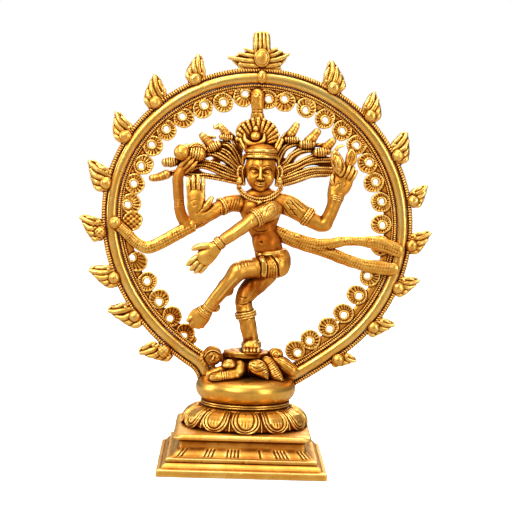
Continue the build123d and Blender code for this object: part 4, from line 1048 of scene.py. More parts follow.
# ---- trunk -------------------------------------------------------------------------------------
def trunk():
    w = Clay((-9.58, -11.0, 85.51), (22.84, 6.0, 131.04), 0.28)
    w.tube([(*(10.15, -2.00, 99.61), 6.6, 5.6), (*(9.10, -2.00, 103.77), 6.5, 5.4), (*(7.56, -2.00, 108.38), 6.1, 5.0), (*(6.50, -2.00, 112.53), 7.0, 5.4), (*(5.67, -2.00, 117.15), 9.0, 5.9)], k=0.3)
    w.ball((5.80, -2.00, 120.40), (10.6, 5.8, 6.4), k=1.2)
    w.ball((1.81, -5.00, 120.65), (4.6, 2.9, 3.7), k=0.9)
    w.ball((9.89, -5.00, 120.89), (4.6, 2.9, 3.7), k=0.9)
    w.tube([(*(5.58, -2.50, 127.37), 3.4, 3.4), (*(0.56, -2.00, 124.88), 3.3, 3.4), (*(-3.52, -1.50, 121.96), 3.6, 3.4)], k=1.6)
    w.tube([(*(5.58, -2.50, 127.37), 3.4, 3.4), (*(10.75, -2.00, 125.19), 3.3, 3.4), (*(15.47, -1.50, 122.99), 3.8, 3.6)], k=1.6)
    w.ball((8.59, -3.40, 104.31), (6.2, 4.9, 5.4), k=1.2)
    # collar bones, breast line, folds of the waist and the navel
    w.draw([(3.78, 124.17), (0.56, 123.85), (-2.64, 122.83)], 0.30, op="add", k=0.5, taper=True)
    w.draw([(-1.11, 117.61), (1.70, 116.31), (4.89, 117.55)], 0.26, k=0.3, taper=True)
    w.draw([(2.11, 110.31), (5.15, 109.24), (9.28, 110.06)], 0.22, k=0.3, taper=True)
    w.draw([(2.64, 100.61), (6.84, 99.34), (12.80, 100.90)], 0.24, k=0.3, taper=True)
    nx, nz = (6.20, 104.48)
    ny = w.front(nx, nz)[0][0]
    w.ball((nx, ny - 0.05, nz), (0.75, 0.6, 0.55), k=0.5, op="cut")
    return w


t_w = trunk().ripple(0.09, 5.0, 31)


def hips():
    w = Clay((-3.13, -11.5, 80.85), (23.82, 7.5, 105.07), 0.26)
    # flank above, seat at the right, and the thick cloth of the raised thigh across the front
    w.ball((14.05, -2.00, 93.90), (6.3, 6.6, 6.0), k=0.5)
    w.ball((15.84, -1.50, 96.48), (4.6, 5.6, 5.2), k=1.2)
    w.ball((11.10, -2.00, 99.18), (6.9, 6.1, 3.6), k=1.4)
    w.tube([(*(13.57, -2.80, 93.72), 5.9, 5.9), (*(8.93, -3.80, 92.82), 5.35, 5.9), (*(5.21, -5.20, 92.41), 5.3, 5.6)], k=1.0)
    w.tube([(*(9.95, -1.50, 91.64), 5.2, 5.4), (*(6.81, -2.20, 87.41), 5.1, 5.1)], k=1.0)
    # hems: a narrow raised band between two deep lines, pleats, then one more deep line
    w.draw([(6.72, 97.02), (7.76, 95.12), (8.11, 92.58), (7.96, 89.86)], 1.25, op="add", k=0.5, lift=0.95)
    w.draw([(4.58, 97.42), (6.00, 95.30), (6.74, 92.08), (6.54, 87.96)], 0.44, k=0.2)
    w.draw([(7.11, 97.96), (8.95, 95.38), (9.51, 92.16), (9.32, 87.81)], 0.36, k=0.2)
    w.draw([(11.03, 98.30), (13.18, 96.05), (14.42, 93.30), (14.87, 88.82)], 0.52, k=0.22)
    for a, b, c in (((9.02, 97.55), (10.79, 94.05), (10.78, 88.32)), ((9.94, 97.58), (11.85, 94.08), (11.99, 88.36)), ((10.77, 97.60), (12.97, 93.65), (13.28, 88.39))):
        w.draw([a, b, c], 0.17, k=0.1, taper=True)
    for a, b, c in (((13.37, 98.30), (15.93, 95.43), (16.66, 90.73)), ((15.69, 98.99), (18.11, 95.81), (18.06, 91.62))):
        w.draw([a, b, c], 0.16, k=0.1, taper=True)
    ticks(w, [(7.37, 97.04), (8.18, 93.51), (8.00, 88.70)], 0.8, 1.15, 0.13)
    ticks(w, [(9.96, 97.11), (11.77, 93.62), (11.79, 88.81)], 1.3, 1.5, 0.10, lean=0.2)
    return w


h_w = hips().ripple(0.07, 4.5, 32)
piece("Torso", t_w.mesh(), "torso", FIG, "aged")
piece("Hips", h_w.mesh(), "hips", FIG, "figure")


def waist():
    w = Clay((-0.58, -10.5, 93.90), (22.63, 6.5, 106.00), 0.2)
    c = np.array((11.08, -2.00, 99.64))
    for dz, r, off in ((0.36, 0.38, -0.15), (-0.36, 0.42, -0.05)):
        pts = []
        for a in np.linspace(-math.pi, math.pi, 91):
            x, y = c[0] + (7.05 + off) * math.sin(a), c[1] - (6.1 + off) * math.cos(a)
            z = c[2] + dz + 0.17 * (x - c[0]) - 0.25 * math.cos(a)
            pts.append((x, y, z, r * (1 + 0.07 * math.sin(a * 40 + 9 * dz))))
        w.tube(pts, k=0.1, n=1)
    x, z = c[0] - 5.2, c[2] - 1.0
    w.ball((x, -6.9, z), (0.9, 0.7, 0.9), k=0.15)
    return w


piece("Waist_belt", waist().mesh(), "waist_belt", FIG, "figure")

# ---- head ----------------------------------------------------------------------------------------
HX = 5.01


def head():
    cx = HX
    w = Clay((cx - 10.5, -14.5, 122.0), (cx + 10.5, 5.5, 149.0), 0.20)
    w.ball((cx, -3.6, 138.6), (7.2, 7.3, 8.4), k=0.5)
    w.ball((cx, -4.5, 133.8), (6.0, 6.2, 5.9), k=2.2)
    w.ball((cx, -8.7, 129.6), (2.1, 1.9, 1.7), k=1.8)
    for s in (-1, 1):
        w.ball((cx + s * 3.6, -8.0, 133.9), (2.5, 2.2, 2.4), k=1.6)
    w.tube([(cx, -2.6, 132.0, 3.5), (cx, -2.2, 126.5, 3.7), (cx, -2.0, 123.0, 3.9)], k=1.2)
    Y = lambda x, z: float(w.front(x, z)[0][0])
    for s in (-1, 1):
        y = Y(cx + s * 3.15, 136.7)
        w.ball((cx + s * 3.15, y - 0.45, 136.9), (2.25, 1.25, 1.35), k=0.9, op="cut")
    # brow
    for s in (-1, 1):
        pts = [(cx + s * 0.95, 138.35), (cx + s * 2.4, 139.15), (cx + s * 4.1, 139.15), (cx + s * 5.6, 138.0)]
        w.draw(pts, 0.40, op="add", k=0.45, lift=0.02, taper=True)
        w.draw([(x, z + 0.15) for x, z in pts], 0.20, op="add", k=0.10, lift=0.26, taper=True)
    # nose
    y0, y1, y2 = Y(cx, 138.2), Y(cx, 135.6), Y(cx, 133.9)
    w.tube([(cx, y0 + 0.15, 138.4, 0.62), (cx, y1 - 0.55, 136.0, 0.68), (cx, y2 - 1.10, 134.2, 0.95)], k=0.5)
    w.ball((cx, y2 - 1.25, 133.85), (1.02, 0.95, 0.80), k=0.35)
    for s in (-1, 1):
        w.ball((cx + s * 1.18, y2 - 0.50, 133.65), (0.68, 0.80, 0.58), k=0.30)
        w.ball((cx + s * 0.58, y2 - 1.15, 133.05), (0.28, 0.34, 0.26), k=0.12, op="cut")
    # eyes: lowered lids
    for s in (-1, 1):
        ex, ez = cx + s * 3.15, 136.65
        y = Y(ex, ez)
        w.ball((ex, y + 0.55, ez), (1.85, 1.15, 1.15), k=0.22)
        y = Y(ex, ez)
        lid = [(ex - s * 1.95, ez - 0.25), (ex - s * 0.9, ez + 0.62), (ex + s * 0.5, ez + 0.72), (ex + s * 2.1, ez + 0.02)]
        w.draw(lid, 0.24, op="add", k=0.12, lift=0.10, taper=True)
        low = [(ex - s * 1.8, ez - 0.38), (ex - s * 0.5, ez - 0.86), (ex + s * 0.9, ez - 0.80), (ex + s * 2.0, ez - 0.15)]
        w.draw(low, 0.18, op="add", k=0.12, lift=0.06, taper=True)
        w.draw([(ex - s * 1.5, ez - 0.22), (ex - s * 0.1, ez - 0.42), (ex + s * 1.6, ez - 0.16)], 0.14, k=0.05, lift=0.02, taper=True)
        w.ball((ex + s * 0.1, Y(ex, ez) + 0.28, ez - 0.05), (0.50, 0.46, 0.50), k=0.10)
    # mouth: closed, calm
    ym = Y(cx, 131.3)
    w.ball((cx, ym + 0.35, 131.4), (2.3, 0.95, 1.35), k=0.8)
    w.draw([(cx - 2.05, 131.45), (cx - 0.8, 131.78), (cx, 131.62), (cx + 0.8, 131.78), (cx + 2.05, 131.45)], 0.36, op="add", k=0.18, lift=0.10, taper=True)
    w.draw([(cx - 1.6, 130.95), (cx, 130.62), (cx + 1.6, 130.95)], 0.44, op="add", k=0.18, lift=0.10, taper=True)
    w.draw([(cx - 2.1, 131.32), (cx - 0.7, 131.20), (cx, 131.26), (cx + 0.7, 131.20), (cx + 2.1, 131.32)], 0.15, k=0.06, lift=0.05, taper=True)
    w.draw([(cx, 132.6), (cx, 132.1)], 0.24, k=0.25, lift=0.02)
    w.draw([(cx - 1.3, 129.95), (cx, 129.78), (cx + 1.3, 129.95)], 0.22, k=0.4, taper=True)
    # upright mark on the forehead
    w.draw([(cx, 140.0), (cx, 141.4), (cx, 142.8)], 0.34, op="add", k=0.15, lift=0.08, taper=True)
    # ears, long in the lobe
    for s in (-1, 1):
        x = cx + s * 7.35
        w.tube([(x, -4.4, 138.6, 0.9, 1.2), (x + s * 0.55, -4.2, 136.6, 1.0, 1.5), (x + s * 0.35, -4.6, 133.6, 0.85, 1.2), (x + s * 0.2, -4.9, 130.9, 0.85, 1.0)], k=0.6)
        w.draw([(x + s * 0.2, 138.8), (x + s * 0.95, 137.2), (x + s * 0.7, 134.6), (x + s * 0.3, 132.4)], 0.22, op="add", k=0.1, lift=0.1)
        w.draw([(x + s * 0.0, 137.8), (x + s * 0.45, 136.4), (x + s * 0.2, 134.6)], 0.20, k=0.1, taper=True)
    # throat lines
    for z in (126.6, 125.2):
        w.girdle((cx, -2.2, z), (0, 0.15, 1), 0.22, 0.16, 4.4)
    for dx in np.linspace(-5.2, 5.2, 11):
        w.draw([(cx + dx * 0.95, 144.5), (cx + dx * 1.0, 139.0), (cx + dx * 0.92, 133.0), (cx + dx * 0.7, 128.5)], 0.26, k=0.2, side=1)
    return w


piece("Head", head().mesh(), "head", FIG, "face")


def diadem():
    cx = HX
    w = Clay((cx - 12.5, -15.5, 138.5), (cx + 12.5, 5.5, 156.0), 0.22)
    base = 143.86
    top = 146.38
    for z, r, a, b, rise in ((base, 1.22, 6.75, 7.3, -0.45), (top, 1.26, 6.45, 6.9, -0.3)):
        pts = []
        for t in np.linspace(-2.1, 2.1, 41):
            pts.append((cx + a * math.sin(t), -3.4 - b * math.cos(t), z + rise * (1 - math.cos(t)) * 1.3, r * (1 - 0.10 * abs(t)), r * (1 - 0.10 * abs(t))))
        w.tube(pts, k=0.08, n=1)
    # the cap under the headdress, and a narrow beaded cord between the rolls
    w.ball((cx, -3.2, 146.31), (6.7, 6.5, 3.4), k=0.4)
    w.tube([(cx + 6.9 * math.sin(t), -3.4 - 7.6 * math.cos(t), (base + top) / 2 - 0.5 * (1 - math.cos(t)), 0.46 * (1 + 0.16 * math.sin(t * 46))) for t in np.linspace(-1.9, 1.9, 150)], k=0.08, n=1)
    # corded braids running down beside the fan to the temples
    for s in (-1, 1):
        for i in range(2):
            pts = [(cx + s * (9.7 - 1.3 * i), -1.6 + 0.2 * i, 151.58 + 0.4 * i), (cx + s * (8.4 - 1.25 * i), -2.8 + 0.2 * i, 148.82 + 0.3 * i), (cx + s * (6.9 - 0.5 * i), -3.4, 146.05)]
            sp = spline([(*q, 0.78) for q in pts], 12)
            w.tube([(q[0], q[1], q[2], 0.76 * (1 + 0.15 * math.sin(j * 1.9))) for j, q in enumerate(sp)], k=0.08, n=1)
        w.tube([(cx + s * 7.3, -2.6, 143.97, 0.9), (cx + s * 8.0, -2.2, 142.13, 1.0), (cx + s * 8.2, -2.0, 140.28, 0.8)], k=0.15)
    # nothing in front of the face
    sl, (X, Y, Z) = w.block((cx - 7.2, -15.5, 138.5), (cx + 7.2, -5, 143.4))
    w.f[sl] = np.maximum(w.f[sl], (143.2 - Z) * (np.abs(X - cx) < 7.0) - 4.0 * (np.abs(X - cx) >= 7.0) + 0 * Y)
    return w.ripple(0.05, 4.0, 33)


piece("Diadem", diadem().mesh(), "diadem", FIG, "figure")


def fan():
    w = Clay((-9.14, -6.2, 145.29), (14.47, 3.6, 162.38), 0.24)
    pole = np.array((3.35, 148.53))
    out = smooth_loop([(-2.85, 146.50), (-6.00, 151.03), (-6.91, 155.16), (-5.07, 158.68), (-1.42, 160.63), (3.18, 161.70), (7.37, 160.90), (10.67, 158.93), (12.87, 155.30), (12.30, 151.58), (10.12, 146.89)], 4)
    w.slab(out, -0.4, 2.4, edge=0.8)
    ang = np.linspace(-72, 72, 13)
    for i, a in enumerate(ang):
        d = np.array([math.sin(math.radians(a)), math.cos(math.radians(a))])
        # how far the outline reaches this way
        R = 13.0 - 2.6 * (abs(a) / 72) ** 1.3
        p0, p1 = pole + d * 3.6, pole + d * (R - 0.9)
        n = 34
        rows = []
        for j in range(n):
            t = j / (n - 1)
            q = p0 + (p1 - p0) * t
            rr = (0.62 + 0.38 * t) * (1 + 0.10 * math.sin(j * 1.55))
            rows.append((q[0], -0.9 - 0.5 * math.sin(math.pi * t), q[1], rr, rr * 0.9))
        w.tube(rows, k=0.06, n=1)
        w.ball((p1[0] + d[0] * 0.5, -0.9, p1[1] + d[1] * 0.5), (1.05, 0.95, 1.05), k=0.08)
    # crescent, skull-like boss and the bud over it
    w.tube([(*(-2.86, -2.60, 153.90), 0.5, 0.6), (*(-2.32, -3.20, 151.16), 1.0, 1.0), (*(0.27, -3.60, 149.17), 1.35, 1.2), (*(3.50, -3.60, 149.26), 1.35, 1.2), (*(5.98, -3.20, 151.41), 1.0, 1.0), (*(6.38, -2.60, 153.95), 0.5, 0.6)], k=0.12)
    c = (2.25, -2.80, 152.91)
    w.ball(c, (2.3, 1.9, 2.5), k=0.12)
    w.ball((c[0], c[1] - 0.3, c[2] + 3.4), (1.15, 1.1, 1.5), k=0.25)
    for s in (-1, 1):
        w.ball((c[0] + s * 0.85, c[1] - 1.95, c[2] + 0.55), (0.45, 0.35, 0.4), k=0.15, op="cut")
    w.draw([(c[0] - 0.9, c[2] - 0.9), (c[0] + 0.9, c[2] - 0.9)], 0.16, k=0.1)
    return w.ripple(0.05, 3.5, 34)


piece("Headdress_fan", fan().mesh(), "headdress_fan", FIG, "relief")


def finial():
    w = Clay((-1.69, -4.4, 157.76), (7.55, 4.2, 174.81), 0.24)
    w.tube([(*(3.04, 0.40, 158.69), 3.9, 1.9), (*(2.94, 0.20, 161.92), 3.2, 1.9), (*(2.86, 0.00, 164.69), 2.7, 2.0), (*(2.78, -0.30, 166.99), 3.0, 2.3), (*(2.69, -0.50, 169.75), 3.1, 2.5), (*(2.62, -0.20, 172.28), 2.9, 2.2)], k=0.3)
    c = (2.77, -1.40, 171.34)
    w.ball(c, (2.5, 1.7, 2.7), k=0.4)
    for s in (-1, 1):
        w.ball((c[0] + s * 0.95, c[1] - 1.62, c[2] + 0.7), (0.5, 0.4, 0.5), k=0.1, op="cut")
    rings(w, (2.88, 0.00, 164.00), (2.83, 0.00, 165.38), 2, 0.26, 0.24, 3.8)
    for s in (-1, 0, 1):
        x, z = (3.02, 159.15)
        x1, z1 = (2.90, 163.30)
        w.draw([(x + s * 1.9, z), (x1 + s * 1.0, z1)], 0.22, k=0.12, taper=True)
    return w.ripple(0.06, 3.5, 35)


piece("Top_finial", finial().mesh(), "crown_finial", FIG, "figure")


def earrings():
    out = []
    for s, (x, z) in ((-1, (-4.39, 132.20)), (1, (13.93, 132.75))):
        w = Clay((x - 3.4, -8.4, z - 4.2), (x + 3.4, -0.6, z + 8.2), 0.2)
        loop = [(x + 1.25 * math.sin(t) - 0.2 * s, -4.6, z + 4.0 + 2.7 * math.cos(t), 0.52 * (1 + 0.12 * math.sin(9 * t))) for t in np.linspace(0, 2 * math.pi, 40)]
        w.tube(loop, k=0.08, n=1)
        w.ball((x, -4.8, z), (1.55, 1.45, 1.9), k=0.12)
        w.girdle((x, -4.8, z + 0.3), (0, 0, 1), 0.22, 0.2, 3)
        w.ball((x, -4.8, z - 2.2), (0.85, 0.85, 0.95), k=0.08)
        out.append(w.mesh())
    return join(*out)


piece("Earrings", earrings(), "earrings", FIG, "figure")


def necklace():
    w = Clay((-7.41, -10.6, 121.40), (17.99, 4.0, 131.56), 0.22)
    # two twisted strings and a flat collar of beads
    for drop, r, yy in ((0.0, 0.62, 0.0), (1.45, 0.60, 0.25)):
        pts = [(*(-5.41, 130.56), -2.6), (*(-2.77, 127.40), -5.2), (*(0.99, 125.21), -7.1), (*(5.17, 124.54), -7.9), (*(9.31, 125.45), -7.1), (*(12.93, 127.87), -5.2), (*(15.38, 130.72), -2.6)]
        p = spline([(x, y - yy, z - drop) for x, z, y in pts], 10)
        p, s = resample(p, 0.22)
        nn = normals2(np.stack([p[:, 0], p[:, 2]], 1))
        for ph in (0, math.pi):
            a = 2 * math.pi * s / 2.3 + ph
            w.tube([(p[i, 0] + nn[i, 0] * 0.36 * math.sin(a[i]), p[i, 1] - 0.36 * math.cos(a[i]), p[i, 2] + nn[i, 1] * 0.36 * math.sin(a[i]), r * 0.66) for i in range(len(s))], k=0.06, n=1)
    c = (5.17, -8.20, 122.41)
    w.ball((c[0], -8.5, c[2]), (1.3, 0.8, 1.5), k=0.1)
    return w


piece("Necklace", necklace().mesh(), "necklace", FIG, "hair")

# ---- arms -------------------------------------------------------------------------------------------
def fingers(w, rows, k=0.10, flat=0.92):
    """Fingers from knuckle to tip: rows of ((x, y, z) knuckle, middle, tip, radius)."""
    for a, m, b, r in rows:
        w.tube([(*a, r, r * flat), (*m, r * 1.03, r * flat), (*lerp(m, b, 0.6), r * 0.92, r * 0.88 * flat), (*b, r * 0.68, r * 0.66 * flat)], k=k)


def arm_front_left():
    w = Clay((-30.95, -18.5, 86.43), (17.12, 1.5, 125.73), 0.28)
    w.tube([(*(10.86, -4.60, 119.51), 4.7, 4.8), (*(8.98, -7.40, 118.67), 4.6, 4.8), (*(4.84, -10.80, 116.64), 3.9, 4.1), (*(0.77, -12.60, 114.09), 3.35, 3.6), (*(-3.71, -13.20, 110.56), 3.15, 3.35), (*(-8.63, -13.10, 106.97), 2.95, 3.1), (*(-12.89, -12.70, 103.83), 2.6, 2.55)], k=0.3)
    w.tube([(*(-13.11, -12.60, 103.59), 2.5, 2.4), (*(-16.01, -12.20, 100.49), 3.6, 2.3), (*(-19.35, -11.90, 97.16), 4.2, 2.1)], k=0.8)
    y = -11.6
    fingers(w, [
        ((-20.99, -11.70, 98.24), (-24.59, -11.60, 95.83), (-27.34, -10.90, 93.44), 1.45),
        ((-20.03, -11.80, 96.85), (-23.21, -11.70, 93.99), (-25.53, -11.00, 91.20), 1.50),
        ((-18.86, -11.80, 95.78), (-21.52, -11.70, 92.75), (-23.48, -11.00, 90.06), 1.45),
        ((-17.65, -11.60, 95.07), (-19.77, -11.40, 92.32), (-21.37, -10.90, 90.11), 1.35),
    ])
    w.tube([(*(-16.27, -12.60, 101.89), 1.75, 1.6), (*(-19.94, -12.70, 102.25), 1.8, 1.5), (*(-22.68, -12.50, 101.70), 1.6, 1.3), (*(-24.67, -12.30, 100.89), 1.15, 1.0)], k=0.5)
    # bracelet lines at the wrist, engraved loops on the shoulder cap, a crease at the elbow
    rings(w, (-11.55, -12.90, 105.03), (-14.01, -12.50, 102.87), 3, 0.24, 0.26, 3.7)
    w.draw([(6.17, 118.07), (7.45, 121.73), (10.66, 123.35), (13.51, 121.32), (13.36, 118.13), (10.40, 115.39), (7.44, 113.97)], 0.26, k=0.12)
    w.draw([(7.78, 117.66), (9.08, 120.86), (11.18, 121.52), (12.29, 119.72), (10.57, 117.23), (8.76, 115.85)], 0.20, k=0.10)
    ticks(w, [(6.82, 119.88), (8.83, 122.42), (11.60, 122.78), (13.34, 120.21), (12.21, 117.23)], 0.55, 1.0, 0.12)
    w.draw([(1.14, 116.24), (1.90, 113.74)], 0.16, k=0.2, taper=True)
    return w.ripple(0.06, 5.0, 36)


def arm_front_right():
    w = Clay((-31.17, -15.8, 112.53), (0.52, 3.5, 136.87), 0.26)
    w.tube([(*(-2.59, -1.80, 121.77), 4.2, 4.0), (*(-8.61, -4.60, 121.71), 3.8, 3.7), (*(-14.06, -7.60, 119.37), 3.4, 3.4), (*(-19.47, -9.60, 116.32), 3.2, 3.1), (*(-23.11, -10.20, 115.78), 3.3, 2.7)], k=0.3)
    w.tube([(*(-23.83, -10.30, 116.91), 3.5, 2.4), (*(-24.15, -10.70, 120.36), 4.2, 2.1), (*(-24.26, -10.90, 124.49), 4.35, 1.75)], k=0.9)
    fingers(w, [
        ((-27.20, -10.90, 124.86), (-27.77, -11.00, 128.97), (-27.88, -10.70, 132.80), 1.06),
        ((-25.24, -11.00, 125.38), (-25.64, -11.10, 129.72), (-25.76, -10.80, 133.92), 1.10),
        ((-23.23, -11.00, 125.44), (-23.45, -11.10, 130.02), (-23.53, -10.80, 134.30), 1.10),
        ((-21.30, -10.90, 125.04), (-21.24, -11.00, 129.39), (-21.17, -10.70, 133.37), 1.06),
    ], k=0.10)
    w.tube([(*(-22.69, -10.60, 117.19), 2.0, 1.7), (*(-20.00, -11.20, 119.82), 1.75, 1.6), (*(-18.15, -11.40, 122.40), 1.5, 1.35), (*(-17.11, -11.30, 124.26), 1.05, 1.0)], k=0.5)
    w.draw([(-20.75, 122.35), (-21.36, 119.59), (-23.57, 117.00)], 0.22, k=0.2, taper=True)
    w.draw([(-27.59, 121.69), (-25.11, 123.14), (-21.91, 123.00)], 0.18, k=0.15, taper=True)
    w.draw([(-27.53, 119.40), (-25.50, 120.38), (-23.24, 121.36)], 0.16, k=0.15, taper=True)
    for v in (183, 190):
        for u in (188.7, 193.4, 198.2, 202.9):
            x, z = HAND[(u, v)]
            w.draw([(x - 0.8, z), (x + 0.8, z)], 0.11, k=0.08, taper=True)
    # the sleeve's ribbons near the shoulder
    ticks(w, [(-3.99, 121.63), (-9.05, 121.11), (-14.03, 118.80)], (2.6, 2.2), 1.25, 0.17, lean=0.9)
    return w.ripple(0.06, 5.0, 37)


HAND = {(188.7, 183): (-27.75, 130.83), (193.4, 183): (-25.60, 130.89), (198.2, 183): (-23.41, 130.96), (202.9, 183): (-21.27, 131.02),
        (188.7, 190): (-27.66, 127.63), (193.4, 190): (-25.52, 127.70), (198.2, 190): (-23.32, 127.76), (202.9, 190): (-21.18, 127.83)}


def arm_rear_right():
    w = Clay((-37.94, -5.4, 103.52), (0.56, 6.6, 144.04), 0.28)
    w.tube([(*(-2.57, 1.20, 121.87), 4.1, 3.6), (*(-7.67, 1.80, 121.46), 3.9, 3.5), (*(-13.65, 2.00, 118.94), 3.5, 3.2), (*(-19.60, 1.80, 115.28), 3.4, 3.0), (*(-24.63, 1.40, 112.12), 3.3, 2.9), (*(-28.31, 1.00, 111.10), 3.1, 2.8)], k=0.3)
    w.tube([(*(-28.31, 1.00, 111.10), 3.1, 2.8), (*(-31.22, 0.40, 115.93), 2.7, 2.6), (*(-32.40, -0.20, 122.43), 2.45, 2.4), (*(-32.93, -0.60, 128.93), 2.5, 2.3), (*(-32.91, -0.80, 133.57), 2.5, 2.2), (*(-30.62, -1.00, 137.81), 2.4, 2.2), (*(-28.61, -1.00, 140.64), 2.2, 2.1)], k=0.8)
    # fingers gripping the drum
    fingers(w, [
        ((-30.78, -2.20, 136.44), (-28.06, -3.20, 139.32), (-25.83, -3.00, 141.92), 0.95),
        ((-31.74, -2.40, 138.27), (-29.26, -3.40, 141.13), (-27.03, -3.20, 143.73), 0.95),
        ((-29.61, -1.80, 135.54), (-26.64, -2.80, 137.97), (-24.41, -2.60, 140.57), 0.9),
    ])
    rings(w, (-32.02, 0.00, 120.11), (-32.30, 0.00, 121.96), 3, 0.24, 0.22, 3.4)
    # gathered ribbons sweeping along the upper arm
    for o, r in ((-2.2, 0.30), (-1.1, 0.24), (0.0, 0.26), (1.2, 0.24), (2.3, 0.28)):
        p = [(-3.52, 121.98), (-9.52, 121.11), (-15.91, 117.67), (-21.37, 114.03), (-26.38, 111.09)]
        w.draw([(x, z + o) for x, z in p], r, k=0.14)
    ticks(w, [(-3.52, 121.98), (-9.52, 121.11), (-15.91, 117.67), (-21.37, 114.03)], 2.6, 1.5, 0.13, lean=0.8)
    return w.ripple(0.09, 4.0, 38)


def arm_rear_left():
    w = Clay((10.92, -7.8, 106.42), (52.76, 5.6, 142.65), 0.28)
    w.tube([(*(14.58, -0.80, 122.47), 4.8, 4.3), (*(19.28, -0.40, 121.20), 4.9, 4.4), (*(24.02, -0.20, 118.54), 4.5, 4.2), (*(28.78, -0.20, 115.42), 3.9, 3.8), (*(33.50, -0.40, 113.01), 3.5, 3.5)], k=0.3)
    w.ball((35.82, -0.50, 113.08), (3.3, 3.4, 3.3), k=1.0)
    w.tube([(*(36.03, -0.60, 113.79), 3.3, 3.4), (*(38.16, -1.20, 118.54), 3.1, 3.2), (*(39.78, -1.80, 123.26), 3.2, 2.9), (*(40.21, -2.00, 126.53), 3.5, 2.7)], k=0.6)
    # hand: palm and four fingers round the flame
    w.tube([(*(40.11, -1.90, 125.60), 3.5, 2.7), (*(40.77, -2.20, 128.87), 4.3, 2.3), (*(42.27, -2.40, 132.17), 5.2, 2.0), (*(43.09, -2.40, 135.20), 5.3, 1.7)], k=0.8)
    fingers(w, [
        ((45.73, -2.60, 132.28), (47.93, -2.60, 135.58), (49.53, -2.20, 138.40), 1.15),
        ((44.73, -3.00, 133.65), (46.69, -3.20, 136.72), (48.14, -2.80, 139.76), 1.15),
        ((43.52, -3.20, 134.78), (45.10, -3.60, 137.61), (46.13, -3.40, 140.40), 1.1),
        ((39.50, -3.00, 130.72), (38.12, -3.60, 133.47), (38.34, -3.80, 136.02), 1.0),
    ])
    w.draw([(39.22, 130.28), (41.01, 132.18), (43.31, 132.48)], 0.20, k=0.15, taper=True)
    w.draw([(40.48, 134.01), (41.68, 132.66), (41.99, 130.59)], 0.18, k=0.12, taper=True)
    w.draw([(43.37, 130.87), (44.25, 132.05), (43.97, 133.43)], 0.16, k=0.12, taper=True)
    # folded ribbons on the upper arm
    for a, b, c in (((16.26, 124.97), (19.62, 120.02), (23.51, 115.46)), ((18.09, 125.49), (21.90, 121.02), (25.28, 117.83)), ((20.43, 124.63), (23.73, 121.53), (26.15, 119.71)), ((15.91, 121.26), (18.34, 117.63), (22.15, 114.50))):
        w.draw([a, b, c], 0.30, k=0.16, taper=True)
    for a, b in (((17.26, 122.68), (20.98, 122.10)), ((18.28, 119.71), (22.91, 119.61)), ((19.27, 117.65), (23.92, 117.10))):
        w.draw([a, b], 0.24, k=0.12, taper=True)
    return w.ripple(0.06, 4.5, 39)


piece("Arm_front_left", arm_front_left().mesh(), "arm_front_left", FIG, "flame")
piece("Arm_front_right", arm_front_right().mesh(), "arm_front_right", FIG, "figure")
piece("Arm_rear_right", arm_rear_right().mesh(), "arm_rear_right", FIG, "aged")
piece("Arm_rear_left", arm_rear_left().mesh(), "arm_rear_left", FIG, "figure")


def cuff(c, axis, a, b, bands, h=0.2):
    """Rings worn round a limb: centre, direction of the limb, half width and half depth, (offset, radius, beads) for each ring."""
    c, n = np.array(c, float), np.array(axis, float)
    n /= np.linalg.norm(n)
    u = np.cross(n, (0, 1, 0))
    u /= np.linalg.norm(u)
    v = np.cross(n, u)
    R = max(a, b) + 1.6
    w = Clay(c - R - 1.2, c + R + 1.2, h)
    for off, r, beads in bands:
        pts = []
        for t in np.linspace(0, 2 * math.pi, max(48, beads * 6) + 1):
            q = c + n * off + u * a * math.cos(t) + v * b * math.sin(t)
            pts.append((*q, r * (1 + (0.20 * math.sin(beads * t) if beads else 0))))
        w.tube(pts, k=0.08, n=1)
    return w


def ax_(a, b):
    return np.array(b, float) - np.array(a, float)


armlets = [
    cuff((3.70, -11.40, 115.95), ax_((7.56, -9.50, 118.50), (0.76, -12.50, 114.31)), 4.15, 4.3, [(-1.0, 0.50, 0), (0.0, 0.56, 22), (1.0, 0.50, 0)]).mesh(),
    cuff((-12.25, -6.70, 120.31), ax_((-8.61, -4.60, 121.71), (-14.06, -7.60, 119.37)), 3.75, 3.75, [(-0.7, 0.48, 0), (0.35, 0.52, 20)]).mesh(),
    cuff((27.58, -0.20, 116.55), ax_((23.07, -0.20, 119.44), (30.69, -0.20, 114.08)), 4.3, 4.2, [(-1.3, 0.50, 0), (-0.2, 0.62, 22), (1.0, 0.50, 0)]).mesh(),
]
piece("Armlets", join(*armlets), "armlets", FIG, "figure")
bracelets = [
    cuff((-12.76, -12.70, 104.02), ax_((-8.63, -13.10, 106.97), (-16.23, -12.20, 100.49)), 2.85, 2.85, [(-0.7, 0.40, 0), (0.15, 0.44, 18), (0.95, 0.38, 0)]).mesh(),
    cuff((40.56, -2.00, 125.85), ax_((40.05, -1.80, 123.50), (41.02, -2.10, 128.41)), 3.1, 3.0, [(-0.9, 0.40, 0), (0.0, 0.46, 18), (0.9, 0.40, 0)]).mesh(),
]
piece("Bracelets", join(*bracelets), "bracelets", FIG, "figure")

